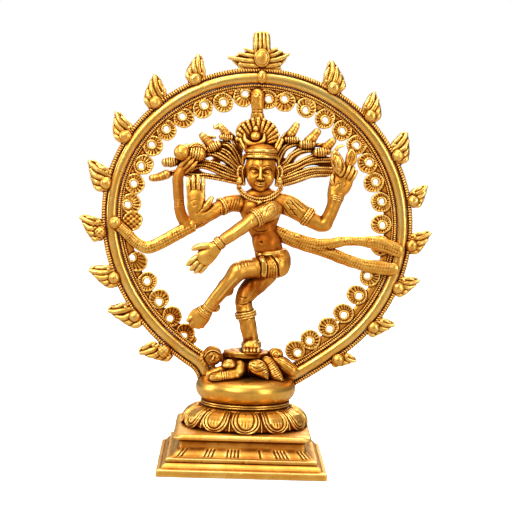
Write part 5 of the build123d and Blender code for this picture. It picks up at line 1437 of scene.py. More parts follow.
# ---- legs -----------------------------------------------------------------------------------------
def leg_raised():
    w = Clay((-29.98, -15.0, 61.37), (10.31, 1.8, 98.45), 0.28)
    w.tube([(*(7.06, -5.00, 92.54), 4.9, 5.0), (*(2.43, -6.40, 92.05), 4.6, 4.9), (*(-1.73, -7.80, 91.58), 4.5, 4.7), (*(-4.68, -8.80, 89.73), 4.25, 4.5), (*(-7.12, -8.90, 86.66), 3.7, 4.1), (*(-10.45, -8.00, 82.31), 3.35, 3.8), (*(-13.80, -6.90, 77.94), 3.15, 3.4), (*(-16.71, -5.60, 74.00), 2.95, 3.0), (*(-18.27, -5.00, 71.80), 2.9, 2.8)], k=0.3)
    w.ball((-4.49, -9.60, 91.19), (3.5, 3.2, 3.3), k=1.2)
    w.ball((-9.31, -6.00, 82.63), (3.2, 3.4, 4.2), k=1.4, turn=-38)
    w.ball((-13.92, -3.60, 73.17), (2.3, 2.3, 2.3), k=1.0)
    # foot, sole turned to the back, toes spread
    w.tube([(*(-18.27, -4.60, 71.52), 3.1, 2.5), (*(-20.30, -4.20, 69.32), 4.3, 2.4), (*(-21.89, -3.90, 67.79), 4.9, 2.0)], k=1.0)
    fingers(w, [
        ((-23.53, -4.40, 68.78), (-25.23, -4.40, 68.03), (-26.60, -4.10, 66.93), 1.3),
        ((-22.67, -4.50, 67.74), (-24.02, -4.60, 66.50), (-25.06, -4.20, 65.21), 1.2),
        ((-21.67, -4.50, 66.93), (-22.60, -4.50, 65.50), (-23.27, -4.10, 64.23), 1.15),
        ((-20.54, -4.30, 66.38), (-21.06, -4.30, 64.97), (-21.40, -3.90, 63.70), 1.1),
        ((-19.34, -4.00, 66.29), (-19.53, -4.00, 64.98), (-19.60, -3.60, 63.81), 1.05),
    ], k=0.08)
    # creases over the knee and the shin's edge
    for a, b in (((-3.01, 94.88), (-2.01, 92.38)), ((-1.64, 95.38), (-0.64, 92.65)), ((-0.28, 95.65), (0.72, 92.92)), ((-4.36, 94.15), (-3.37, 91.65))):
        w.draw([a, b], 0.22, k=0.18, taper=True)
    w.draw([(-4.85, 87.46), (-8.40, 83.12), (-12.84, 77.24)], 0.30, op="add", k=0.9, taper=True)
    rings(w, (-16.70, -5.50, 73.90), (-17.65, -5.20, 72.63), 2, 0.22, 0.22, 3.9)
    return w.ripple(0.06, 5.0, 40)


def leg_standing():
    w = Clay((-7.16, -13.5, 52.29), (15.15, 7.0, 91.05), 0.28)
    w.tube([(*(9.09, -1.50, 89.28), 5.3, 5.4), (*(5.02, -2.40, 85.04), 5.1, 5.2), (*(1.17, -3.00, 81.25), 4.7, 5.0), (*(-0.98, -3.60, 77.05), 3.9, 4.4), (*(-0.46, -3.90, 73.36), 4.0, 4.4), (*(0.14, -3.90, 70.58), 4.35, 4.5), (*(0.99, -3.40, 67.27), 3.95, 4.2), (*(1.86, -2.90, 63.03), 3.85, 4.0), (*(2.82, -2.50, 59.26), 3.65, 3.6), (*(3.24, -2.20, 56.42), 3.9, 3.9)], k=0.3)
    w.ball((-0.04, -5.40, 71.43), (3.3, 3.1, 2.9), k=1.2)
    # foot flat on the pad, toes to the front
    w.tube([(*(3.36, 0.60, 55.13), 3.7, 3.0), (*(3.26, -3.60, 54.91), 4.3, 2.4), (*(3.18, -7.20, 54.72), 4.0, 1.9)], k=1.2)
    for i, x in enumerate((-3.1, -1.6, -0.1, 1.4, 2.9)):
        c = (3.17, -8.60, 54.43)
        w.tube([(c[0] + x, c[1] + 1.2, c[2] + 0.5, 0.88), (c[0] + x * 1.05, c[1] - 0.6 + 0.10 * abs(i - 1.5), c[2] + 0.1, 0.86), (c[0] + x * 1.08, c[1] - 1.7 + 0.2 * abs(i - 1.5), c[2] - 0.3, 0.66)], k=0.08)
    w.draw([(-4.27, 76.36), (-1.70, 75.15), (1.52, 76.07)], 0.24, k=0.3, taper=True)
    w.draw([(-3.20, 79.18), (-0.87, 78.42), (0.96, 79.07)], 0.22, k=0.25, taper=True)
    rings(w, (-0.00, -3.90, 72.16), (0.51, -3.80, 68.99), 2, 0.34, 0.34, 6.0)
    return w.ripple(0.10, 4.0, 41)


piece("Leg_raised", leg_raised().mesh(), "leg_raised", FIG, "flame")
piece("Leg_standing", leg_standing().mesh(), "leg_standing", FIG, "figure")
anklets = [
    cuff((-18.91, -4.90, 71.30), ax_((-16.04, -5.80, 74.97), (-20.75, -4.10, 68.59)), 3.35, 3.0, [(-0.75, 0.42, 0), (0.2, 0.46, 20), (1.1, 0.40, 0)]).mesh(),
    cuff((0.23, -4.00, 70.59), ax_((-0.46, -3.90, 73.36), (0.99, -3.40, 67.27)), 4.65, 4.8, [(-1.1, 0.46, 0), (0.0, 0.5, 26), (1.1, 0.46, 0)]).mesh(),
    cuff((3.19, -2.30, 56.34), ax_((2.82, -2.50, 59.26), (3.46, -2.10, 53.60)), 4.25, 4.3, [(-0.95, 0.48, 0), (0.1, 0.54, 24), (1.15, 0.50, 0)]).mesh(),
]
piece("Anklets", join(*anklets), "anklets", FIG, "figure")

# ---- hand drum and flame ------------------------------------------------------------------------
def hand_drum():
    w = Clay((-37.03, -7.2, 137.39), (-19.01, 3.6, 151.23), 0.22)
    w.tube([(*(-31.47, -1.90, 144.50), 3.2, 3.2), (*(-28.92, -1.80, 144.34), 2.2, 2.2), (*(-26.38, -1.80, 144.33), 2.9, 2.7), (*(-23.83, -1.60, 144.03), 3.5, 3.0)], k=0.15)
    w.ball((-31.44, -2.90, 144.60), (3.75, 3.3, 3.75), k=0.25)
    rings(w, (-28.22, -1.80, 143.90), (-23.58, -1.60, 143.02), 5, 0.26, 0.34, 4.8)
    c = (-32.06, -5.90, 145.22)
    y = float(w.front(c[0], c[2])[0][0])
    w.draw([(c[0] - 1.5, c[2] + 0.4), (c[0] - 0.3, c[2] + 1.3), (c[0] + 1.2, c[2] + 0.6), (c[0] + 0.8, c[2] - 1.0), (c[0] - 0.9, c[2] - 1.0), (c[0] - 1.5, c[2] + 0.4)], 0.16, k=0.1)
    # knotted cord hanging off the drum
    twin(w, [(-27.81, 146.70), (-25.55, 148.38), (-22.77, 148.00), (-20.86, 145.99)], -2.2, gap=0.45, r=0.55)
    return w.ripple(0.05, 3.5, 42)


def hand_flame():
    w = Clay((34.17, -8.2, 132.18), (53.26, 2.2, 151.56), 0.22)
    drop = smooth_loop([(42.05, 135.45), (38.95, 138.35), (37.09, 142.68), (37.51, 146.61), (39.09, 147.81), (41.45, 146.27), (43.66, 142.42), (44.18, 138.28)], 4)
    w.slab(drop, -5.7, -2.6, edge=1.2)
    c = np.array((40.69, 141.41))
    w.ball((c[0] + 0.1, -5.2, c[1] - 0.3), (2.1, 1.6, 4.3), k=0.5, turn=0)
    pts = [tuple(c + (np.array(q) - c) * 0.70) for q in drop]
    w.draw(pts[2:] + pts[:1], 0.24, k=0.12, n=2)
    w.draw([(39.37, 144.17), (40.40, 140.98), (41.77, 138.72)], 0.20, k=0.12, taper=True)
    w.slab(smooth_loop([(43.26, 137.74), (44.03, 142.39), (44.81, 146.58), (46.82, 148.72), (48.98, 146.70), (49.57, 143.02), (46.91, 139.47)], 4), -3.4, -0.2, edge=1.0)
    w.draw([(45.21, 139.68), (46.24, 143.40), (47.04, 147.12)], 0.26, k=0.12, taper=True)
    w.draw([(46.59, 140.18), (47.86, 143.45), (48.23, 146.23)], 0.20, k=0.12, taper=True)
    w.tube([(*(39.60, -3.20, 147.82), 0.9), (*(40.96, -2.80, 149.47), 0.8), (*(43.06, -2.40, 149.76), 0.5)], k=0.2)
    return w.ripple(0.05, 3.5, 43)


piece("Hand_drum", hand_drum().mesh(), "hand_drum", FIG, "figure")
piece("Hand_flame", hand_flame().mesh(), "hand_flame", FIG, "figure")

# ---- hair: flying braids with ribbed bulbs ---------------------------------------------------------
def barrel(w, a, b, y, r, count=5):
    """The ribbed barrel that gathers a braid."""
    a, b = np.array(a, float), np.array(b, float)
    m = (a + b) / 2
    w.tube([(a[0], y, a[1], r * 0.84, r * 0.70), (m[0], y - 0.35, m[1], r, r * 0.86), (b[0], y, b[1], r * 0.84, r * 0.70)], k=0.25)
    n = (b[0] - a[0], 0, b[1] - a[1])
    for t in np.linspace(0.0, 1.0, count):
        q = a + (b - a) * t
        w.girdle((q[0], y, q[1]), n, 0.19, 0.36, r + 1.0)


def coil(w, path, y, r, turn=1.35, fork=1.0):
    """The coiled end of a braid, curling out of its barrel to a small forked tip."""
    p, s = resample(spline(path, 8), 0.25)
    f = 1 - 0.30 * s / s[-1]
    rr = r * f * (1 + 0.15 * np.sin(2 * math.pi * s / turn))
    w.tube([(p[i, 0], y, p[i, 1], rr[i], rr[i] * 0.85) for i in range(len(s))], k=0.2, n=1)
    nn, e = normals2(p)[-1], p[-1, :2]
    t = (p[-1, :2] - p[-5, :2])
    t = t / (np.linalg.norm(t) + 1e-9)
    for o, g in ((-0.95, 1.2), (0.95, 1.5)):
        q = e + nn * o * r * 0.42 * fork + t * g * 0.60
        w.tube([(e[0], y, e[1], r * 0.50), (q[0], y + 0.1, q[1], 0.5)], k=0.15)


def braids(w, strands, face=2.0):
    for i, s in enumerate(strands):
        arch = lambda t: face - 0.75 * np.sin(math.pi * np.clip(t, 0, 1)) - 0.25 * (i % 2)
        twin(w, s, arch, gap=0.64, r=0.66, depth=1.35, amp=0.10, taper=0.96)
        twin(w, s, lambda t: 2.5 + 0 * t, gap=0.0, r=0.75, amp=0.0, sides=(1,), depth=1.3)


def hair_left():
    w = Clay((-48.16, -2.6, 129.16), (1.02, 4.2, 160.20), 0.25)
    # thin brass left between the braids, pierced in four places
    w.slab(smooth_loop([(-3.76, 146.45), (-6.73, 152.38), (-10.48, 153.66), (-13.16, 150.10), (-17.30, 148.82), (-20.46, 145.71), (-25.08, 144.88), (-28.23, 141.54), (-29.46, 135.47), (-22.91, 133.81), (-13.58, 132.46), (-6.10, 131.29), (-2.42, 132.56)], 3), 1.9, 3.1, edge=0.4)
    for hole in ([(-9.25, 151.38), (-7.51, 150.74), (-5.55, 147.09), (-6.37, 146.46), (-8.19, 148.40)],
                 [(-12.78, 146.64), (-11.47, 146.40), (-9.93, 144.50), (-10.95, 144.42)],
                 [(-20.59, 142.00), (-18.06, 142.96), (-17.10, 141.87), (-19.86, 140.86)],
                 [(-13.82, 140.86), (-11.70, 139.95), (-10.58, 138.08), (-12.55, 138.76)],
                 [(-23.25, 137.51), (-19.76, 137.43), (-16.24, 136.33), (-13.41, 134.65), (-17.83, 135.07), (-22.04, 135.97)]):
        w.slab(smooth_loop(hole, 4), -3.0, 5.0, op="cut", edge=0.2, k=0.15)
    strands = [
        [(-4.20, 145.51), (-6.63, 149.14), (-8.11, 152.11), (-10.26, 154.13)],
        [(-4.51, 140.40), (-6.26, 144.52), (-8.44, 147.47), (-10.81, 149.20), (-14.53, 149.37)],
        [(-4.44, 138.08), (-7.58, 141.93), (-10.69, 145.08), (-14.45, 146.59)],
        [(-3.92, 136.24), (-8.21, 139.82), (-12.48, 142.75), (-17.18, 144.65), (-22.75, 144.67)],
        [(-3.88, 134.61), (-8.58, 136.56), (-13.29, 138.60), (-17.97, 139.99), (-22.63, 140.31), (-26.30, 138.81), (-29.02, 136.41)],
        [(-3.36, 132.77), (-8.51, 133.96), (-13.67, 135.66), (-17.43, 137.31), (-21.64, 138.39), (-25.35, 137.91), (-28.30, 135.50)],
        [(-2.85, 131.34), (-8.45, 132.10), (-14.06, 133.14), (-20.12, 133.89), (-26.63, 133.88), (-32.24, 135.38), (-36.86, 134.55)],
    ]
    braids(w, strands)
    barrel(w, (-9.27, 152.07), (-13.22, 152.19), 0.7, 1.75)
    coil(w, [(-10.93, 153.41), (-12.62, 155.44), (-14.30, 157.34)], 1.2, 1.85)
    w.tube([(*(-14.30, 1.40, 157.47), 1.1), (*(-16.13, 1.60, 156.45), 1.0), (*(-16.80, 1.70, 157.26), 0.62)], k=0.15)
    barrel(w, (-15.20, 148.65), (-19.09, 146.63), 0.4, 2.25)
    coil(w, [(-17.97, 148.10), (-20.36, 150.58), (-22.23, 152.65)], 0.7, 2.25)
    w.tube([(*(-20.59, 1.20, 150.57), 1.0), (*(-18.50, 1.40, 152.03), 0.85), (*(-16.46, 1.50, 151.90), 0.7)], k=0.15)
    barrel(w, (-22.94, 143.32), (-27.11, 142.87), 0.4, 2.3)
    w.tube([(*(-20.93, 1.60, 145.93), 0.95), (*(-24.19, 1.60, 146.29), 1.1), (*(-26.53, 1.60, 146.92), 0.9), (*(-28.64, 1.60, 147.78), 1.1), (*(-30.26, 1.60, 147.50), 0.8)], k=0.2)
    w.tube([(*(-27.24, 1.90, 138.77), 1.5), (*(-30.50, 1.90, 139.37), 1.6), (*(-34.23, 1.70, 139.96), 1.8)], k=0.3)
    barrel(w, (-34.23, 140.20), (-38.85, 139.59), 1.0, 2.5)
    coil(w, [(-38.25, 134.27), (-42.38, 132.57), (-45.39, 132.20)], 1.4, 2.0, fork=0.5)
    return w.ripple(0.05, 3.5, 44)


def hair_right():
    w = Clay((8.45, -2.6, 127.77), (40.98, 4.2, 161.61), 0.25)
    w.slab(smooth_loop([(12.02, 146.93), (13.73, 151.62), (16.43, 154.48), (19.67, 154.81), (22.56, 151.42), (29.17, 148.38), (35.80, 144.86), (38.16, 144.01), (38.43, 135.88), (29.17, 134.44), (23.65, 132.23), (16.27, 130.06), (13.85, 133.05)], 3), 1.9, 3.1, edge=0.4)
    for hole in ([(15.94, 143.52), (16.87, 146.33), (19.19, 148.07), (21.72, 148.71), (19.47, 146.41), (17.51, 143.66)],
                 [(20.38, 141.15), (22.07, 143.71), (24.85, 145.46), (28.04, 146.11), (28.35, 145.10), (25.38, 143.43), (22.17, 140.74)],
                 [(24.67, 138.21), (26.21, 139.56), (29.25, 140.39), (32.48, 139.84), (29.03, 138.71), (26.00, 137.32)]):
        w.slab(smooth_loop(hole, 4), -3.0, 5.0, op="cut", edge=0.2, k=0.15)
    strands = [
        [(11.58, 145.99), (13.32, 149.98), (15.77, 153.30), (18.72, 155.24)],
        [(12.89, 141.39), (14.20, 145.37), (16.34, 148.26), (19.36, 150.03), (23.06, 150.51)],
        [(13.66, 138.90), (17.03, 141.42), (19.07, 144.36), (22.03, 146.49), (25.01, 147.60), (29.66, 147.74)],
        [(13.96, 137.05), (18.12, 139.22), (21.52, 140.53), (24.99, 142.49), (28.84, 144.37), (32.08, 144.75)],
        [(14.25, 135.11), (18.84, 137.11), (22.95, 139.37), (27.07, 141.54), (32.62, 142.72), (38.20, 142.89)],
        [(14.54, 133.17), (19.38, 134.80), (23.97, 136.80), (28.57, 138.33), (33.21, 138.75), (38.34, 138.72)],
        [(14.84, 131.22), (19.91, 132.77), (24.97, 134.69), (29.57, 136.22), (34.21, 136.83), (38.40, 136.86)],
    ]
    braids(w, strands)
    barrel(w, (16.97, 151.95), (21.15, 152.03), 0.6, 1.8)
    coil(w, [(18.52, 154.31), (20.07, 156.67), (21.21, 158.88)], 1.1, 2.05)
    barrel(w, (24.23, 150.08), (28.64, 150.40), 0.4, 2.3)
    coil(w, [(27.22, 151.33), (29.27, 153.76), (30.97, 156.03)], 0.9, 2.35)
    barrel(w, (31.10, 146.39), (35.73, 147.00), 0.3, 2.35)
    coil(w, [(34.99, 148.32), (36.74, 150.27), (38.35, 152.09)], 1.0, 2.2)
    w.tube([(*(29.60, 1.60, 149.55), 0.9), (*(32.38, 1.60, 149.86), 1.0), (*(35.17, 1.60, 149.95), 0.9)], k=0.2)
    return w.ripple(0.05, 3.5, 45)


piece("Hair_left", hair_left().mesh(), "hair_left", FIG, "hair")
piece("Hair_right", hair_right().mesh(), "hair_right", FIG, "hair")

# ---- sashes --------------------------------------------------------------------------------------------
def sash_left():
    w = Clay((-66.21, -4.4, 93.65), (-23.97, 3.6, 115.99), 0.26)
    line = [(-25.95, 110.53), (-30.07, 108.31), (-35.10, 105.37), (-40.59, 102.18), (-46.34, 100.00), (-50.80, 101.64), (-55.08, 105.47), (-59.82, 109.76)]
    widths = [3.0, 3.1, 3.1, 3.0, 3.0, 2.7, 2.5, 2.4]
    w.tube([(x, -0.4, z, r, 1.7) for (x, z), r in zip(line, widths)], k=0.2)
    for o, r in ((-1.9, 0.17), (-0.65, 0.13), (0.65, 0.14), (1.9, 0.17)):
        p, s = resample(spline(line, 8), 1.0)
        q = p[:, :2] + normals2(p) * o
        w.draw([tuple(v) for v in q[::2]], r, k=0.12, n=3)
    ticks(w, line[:5], 2.5, 1.35, 0.12, lean=0.5)
    ticks(w, line[4:], 2.0, 1.0, 0.16, lean=0.0)
    x, z = (-61.55, 111.15)
    w.ball((x, -1.2, z), (2.75, 2.1, 2.75), k=0.1)
    w.f += (0.16 * np.exp(-(((np.sqrt((w.ax[0][:, None, None] - x) ** 2 + (w.ax[2][None, None, :] - z) ** 2) - 1.9) / 0.22) ** 2))).astype(F4)
    return w.ripple(0.08, 3.5, 46)


def sash_right():
    w = Clay((6.82, -6.4, 87.40), (73.73, 2.2, 115.79), 0.28)
    upper = [(9.36, 110.29), (15.00, 108.13), (22.05, 105.55), (29.08, 103.66), (36.06, 103.64), (43.90, 105.50), (51.33, 105.81), (58.79, 105.42), (65.37, 103.80), (70.09, 102.07)]
    uw = [3.0, 3.4, 3.5, 3.4, 3.0, 2.3, 2.2, 3.0, 3.3, 3.0]
    lower = [(24.43, 103.76), (32.87, 101.45), (39.45, 99.54), (46.05, 97.17), (52.64, 95.17), (59.19, 94.15), (64.80, 93.66), (68.30, 93.48)]
    lw = [2.6, 2.8, 2.9, 2.9, 2.9, 3.2, 3.1, 2.8]
    w.tube([(x, -2.2, z, r, 1.75) for (x, z), r in zip(upper, uw)], k=0.2)
    w.tube([(x, -1.7, z, r, 1.75) for (x, z), r in zip(lower, lw)], k=0.2)
    for line, offs in ((upper, (-1.6, 0.0, 1.6)), (lower, (-1.5, 0.0, 1.5))):
        p, s = resample(spline(line, 8), 1.0)
        for o in offs:
            q = p[:, :2] + normals2(p) * o
            w.draw([tuple(v) for v in q[::2]], 0.12, k=0.1, n=3)
    ticks(w, upper[:5], 2.6, 1.15, 0.14, lean=0.5)
    ticks(w, upper[4:], 1.7, 1.25, 0.12, lean=-0.3)
    ticks(w, lower[1:], 2.2, 1.2, 0.13, lean=0.4)
    # frayed edge where the tails part
    for c, r in (((17.26, 110.06), 0.9), ((23.37, 107.68), 0.9)):
        w.ball((c[0], -2.6, c[1]), (r * 1.3, 1.2, r), k=0.4)
    return w.ripple(0.09, 3.2, 47)


piece("Sash_left", sash_left().mesh(), "sash_left", FIG, "figure")
piece("Sash_right", sash_right().mesh(), "sash_right", FIG, "figure")

# ---- dwarf and the pad he carries -----------------------------------------------------------------------
def dwarf_body():
    w = Clay((-10.59, -13.5, 40.4), (24.86, 9.6, 55.91), 0.28)
    pad = np.array((1.55, 0.60, 51.50))
    # lens-shaped pad
    sl, (X, Y, Z) = w.block(pad - (13, 10.5, 4), pad + (13, 10.5, 4))
    rr = np.sqrt(((X - pad[0]) / 11.3) ** 2 + ((Y - pad[1]) / 8.6) ** 2)
    half = 2.75 - 1.55 * np.clip(rr, 0, 1.2) ** 2.4
    d = np.maximum(np.abs(Z - pad[2]) - half, (rr - 1) * 8.5)
    w.put(sl, d.astype(F4), 0.9, "add")
    w.girdle(tuple(pad - (0, 0, 1.7)), (0, 0, 1), 0.3, 0.35, 12.5)
    # back and belly under it
    w.ball((pad[0] + 0.6, 1.2, 44.6), (13.6, 6.2, 5.0), k=0.6)
    w.ball((-11.44, -1.50, 43.22), (5.4, 4.6, 4.0), k=0.8)
    w.ball((-10.16, 0.50, 46.75), (4.6, 3.6, 4.4), k=0.8)
    w.ball((16.57, 0.50, 45.62), (5.6, 4.8, 4.6), k=0.8)
    w.ball((-5.00, -4.20, 46.13), (4.4, 4.4, 3.8), k=1.0)
    w.ball((8.53, -3.00, 45.88), (5.0, 5.4, 4.2), k=1.0)
    w.slab(smooth_loop([(-10.28, 50.79), (12.18, 52.37), (18.33, 50.66), (24.11, 46.10), (25.32, 37.61), (-9.87, 36.62)], 3), -0.5, 4.6, edge=1.2, k=0.8)
    # ribbed cloth in the dark middle
    for a, b in (((-3.46, 48.90), (-2.73, 40.04)), ((-1.84, 49.18), (-1.34, 40.08)), ((-0.22, 49.23), (0.19, 40.12)), ((1.40, 49.27), (1.67, 40.16)), ((2.93, 49.08), (3.20, 40.21))):
        w.draw([a, b], 0.34, k=0.14)
    w.f[:, :, :3] = np.maximum(w.f[:, :, :3], 0.4)
    return w.ripple(0.08, 3.5, 48)


def dwarf_head():
    cx, cz = (-14.73, 50.98)
    cy = -5.6
    w = Clay((cx - 8.5, -13.4, cz - 8.0), (cx + 8.0, 2.4, cz + 7.2), 0.2)
    w.ball((cx, cy, cz), (4.5, 4.8, 4.7), k=0.4)
    w.ball((cx + 0.6, cy - 2.4, cz - 1.0), (3.3, 2.5, 3.0), k=1.0)
    t = math.radians(-20)
    R = lambda x, z: (cx + 0.5 + x * math.cos(t) - z * math.sin(t), cz - 0.2 + x * math.sin(t) + z * math.cos(t))
    Yf = lambda x, z: float(w.front(x, z)[0][0])
    # brow, lowered eyes, nose and mouth on plain thirds
    for s in (-1, 1):
        w.draw([R(s * 0.45, 1.15), R(s * 1.3, 1.45), R(s * 2.3, 1.05)], 0.26, op="add", k=0.2, lift=0.05, taper=True)
        x, z = R(s * 1.35, 0.55)
        y = Yf(x, z)
        w.ball((x, y + 0.25, z), (0.82, 0.55, 0.50), k=0.10)
        w.draw([R(s * 0.6, 0.42), R(s * 1.35, 0.30), R(s * 2.1, 0.48)], 0.11, k=0.05, lift=0.02, taper=True)
    a, b = R(0, 0.9), R(0, -0.75)
    w.tube([(a[0], Yf(*a) + 0.1, a[1], 0.34), (b[0], Yf(*b) - 0.35, b[1], 0.56)], k=0.25)
    for s in (-1, 1):
        q = R(s * 0.55, -0.8)
        w.ball((q[0], Yf(*q) + 0.05, q[1]), (0.34, 0.36, 0.3), k=0.15)
    w.draw([R(-1.1, -1.75), R(0, -1.62), R(1.1, -1.75)], 0.27, op="add", k=0.12, lift=0.06, taper=True)
    w.draw([R(-0.9, -2.15), R(0, -2.28), R(0.9, -2.15)], 0.28, op="add", k=0.12, lift=0.06, taper=True)
    w.draw([R(-1.15, -1.95), R(0, -1.93), R(1.15, -1.95)], 0.11, k=0.05, lift=0.04, taper=True)
    # headband and curled hair behind it
    w.draw([R(-3.9, -1.6), R(-3.2, 1.2), R(-1.6, 2.7), R(0.6, 3.1), R(2.6, 2.4)], 0.34, op="add", k=0.12, lift=0.15)
    w.draw([R(-3.5, -1.8), R(-2.7, 0.9), R(-1.2, 2.2), R(0.6, 2.5), R(2.4, 1.9)], 0.18, k=0.08)
    for i, (a, b) in enumerate(((( -4.2, -0.2), (-5.2, -2.6)), ((-4.0, -1.6), (-4.8, -3.8)), ((-3.4, -2.8), (-3.6, -4.8)), ((-2.6, -3.6), (-2.4, -5.2)))):
        p, q = R(*a), R(*b)
        w.tube([(p[0], cy - 1.2, p[1], 1.0), ((p[0] + q[0]) / 2, cy - 1.9, (p[1] + q[1]) / 2, 0.9), (q[0], cy - 1.4, q[1], 0.7)], k=0.08)
    for s, e in ((-1, R(-3.4, 0.0)), (1, R(3.7, 0.0))):
        w.ball((e[0], cy - 1.4, e[1]), (0.8, 1.0, 1.3), k=0.3)
    return w


def dwarf_arms():
    w = Clay((-18.77, -18.4, 40.6), (5.64, -2.2, 51.81), 0.24)
    # near arm: rounded shoulder and forearm lying on the seat, hands together
    w.ball((-6.88, -10.20, 47.19), (3.3, 3.0, 2.7), k=0.25)
    w.tube([(*(-9.13, -9.60, 44.90), 2.4, 2.6), (*(-12.78, -11.00, 43.60), 2.6, 2.6), (*(-15.28, -11.60, 42.78), 2.2, 2.2)], k=0.5)
    w.tube([(*(-4.24, -12.60, 43.38), 2.5, 2.5), (*(-7.21, -14.20, 42.64), 2.7, 2.4), (*(-10.87, -14.80, 42.16), 2.6, 2.2), (*(-13.62, -14.20, 41.90), 2.1, 1.9)], k=0.18)
    w.tube([(*(-1.78, -8.60, 46.83), 2.6, 2.8), (*(-2.20, -11.00, 44.83), 2.5, 2.6), (*(-3.77, -12.80, 43.19), 2.3, 2.3)], k=0.3)
    for a, b in (((-16.18, 43.38), (-12.29, 43.63)), ((-15.91, 42.31), (-11.79, 42.52)), ((-15.20, 41.24), (-11.76, 41.33))):
        w.draw([a, b], 0.2, k=0.08, taper=True)
    rings(w, (-8.12, -14.40, 42.37), (-10.18, -14.70, 42.21), 3, 0.20, 0.28, 3.4)
    w.draw([(-8.53, 48.28), (-6.70, 48.93), (-5.06, 47.96)], 0.2, k=0.1, taper=True)
    w.draw([(-8.93, 46.41), (-6.83, 45.54), (-4.55, 46.30)], 0.2, k=0.1, taper=True)
    return w.ripple(0.05, 3.0, 49)


def dwarf_legs():
    w = Clay((1.00, -17.6, 40.6), (26.93, 3.2, 57.36), 0.25)
    # folded leg: broad banded knee narrowing to a pointed foot
    w.slab(smooth_loop([(2.51, 49.05), (5.47, 50.30), (8.72, 49.46), (10.63, 47.20), (11.56, 44.20), (11.49, 40.48), (8.02, 42.24), (4.27, 44.23), (2.35, 46.50)], 4), -13.6, -8.4, edge=1.9, k=0.3)
    w.ball((6.03, -11.40, 47.07), (4.0, 3.0, 3.2), k=0.5)
    for a, b, c in (((2.99, 47.72), (6.00, 46.76), (9.41, 48.09)), ((3.17, 46.06), (6.29, 44.85), (10.39, 46.36)), ((3.65, 48.99), (5.95, 48.45), (8.47, 49.41))):
        w.draw([a, b, c], 0.25, k=0.1)
    for a, b in (((8.65, 44.45), (9.28, 42.06)), ((10.01, 44.95), (10.86, 41.55))):
        w.draw([a, b], 0.24, k=0.08, taper=True)
    # second leg's ribbed foot going down to the right
    w.tube([(*(10.71, -6.60, 48.31), 3.2, 3.0), (*(13.08, -8.60, 45.39), 3.1, 2.8), (*(15.22, -9.80, 42.59), 2.7, 2.3), (*(16.72, -10.20, 40.13), 1.8, 1.6)], k=0.3)
    ticks(w, [(10.18, 48.30), (12.78, 45.49), (15.15, 42.68), (16.60, 40.62)], 2.8, 1.0, 0.19, lean=0.5)
    w.tube([(*(14.95, -3.80, 48.99), 3.3, 3.4), (*(18.70, -4.80, 47.12), 3.2, 3.2), (*(22.49, -5.00, 44.91), 2.8, 2.8)], k=0.3)
    w.ball((14.69, -3.00, 51.88), (3.6, 3.1, 3.5), k=0.3)
    cx, cz = (14.94, 52.43)
    w.draw([(cx + (0.5 + 0.33 * t) * math.cos(t * 1.5), cz + (0.5 + 0.33 * t) * math.sin(t * 1.5)) for t in np.linspace(0, 6.2, 14)], 0.22, k=0.1)
    w.draw([(16.19, 50.06), (19.45, 48.66), (22.75, 46.65)], 0.24, k=0.1)
    w.draw([(15.32, 48.17), (18.60, 46.07), (21.92, 43.83)], 0.22, k=0.1)
    return w.ripple(0.07, 3.0, 50)


piece("Dwarf_body", dwarf_body().mesh(), "dwarf_body", FIG, "dwarf")
piece("Dwarf_head", dwarf_head().mesh(), "dwarf_head", FIG, "dwarf")
piece("Dwarf_arms", dwarf_arms().mesh(), "dwarf_arms", FIG, "dwarf")
piece("Dwarf_legs", dwarf_legs().mesh(), "dwarf_legs", FIG, "dwarf")


# =============================================================================================
# From clay to Blender objects
# =============================================================================================
def vertex_normals(p, q):
    a = p[q[:, 2]] - p[q[:, 0]]
    b = p[q[:, 3]] - p[q[:, 1]]
    fn = np.cross(a, b)
    n = np.zeros_like(p)
    for i in range(4):
        np.add.at(n, q[:, i], fn)
    n /= np.linalg.norm(n, axis=1)[:, None] + 1e-12
    return n, fn


def clean(p, q):
    """Makes the faces look outward."""
    a = p[q[:, 2]] - p[q[:, 0]]
    b = p[q[:, 3]] - p[q[:, 1]]
    fn = np.cross(a, b)
    vol = np.einsum("ij,ij->i", p[q].mean(1), fn).sum()
    return (p, q) if vol > 0 else (p, q[:, ::-1])


def relax_mesh(p, q, rounds):
    e = np.vstack([q[:, [0, 1]], q[:, [1, 2]], q[:, [2, 3]], q[:, [3, 0]]])
    cnt = np.bincount(e[:, 0], minlength=len(p)) + np.bincount(e[:, 1], minlength=len(p))
    for amount in [0.45, -0.30] * rounds:
        m = np.zeros_like(p)
        for k in range(3):
            m[:, k] = np.bincount(e[:, 0], p[e[:, 1], k], len(p)) + np.bincount(e[:, 1], p[e[:, 0], k], len(p))
        m /= np.maximum(cnt, 1)[:, None]
        p = p + amount * (m - p)
    return p


for it in made:
    it["p"], it["q"] = clean(it["p"], it["q"])
    if it["relax"]:
        it["p"] = relax_mesh(it["p"], it["q"], it["relax"])
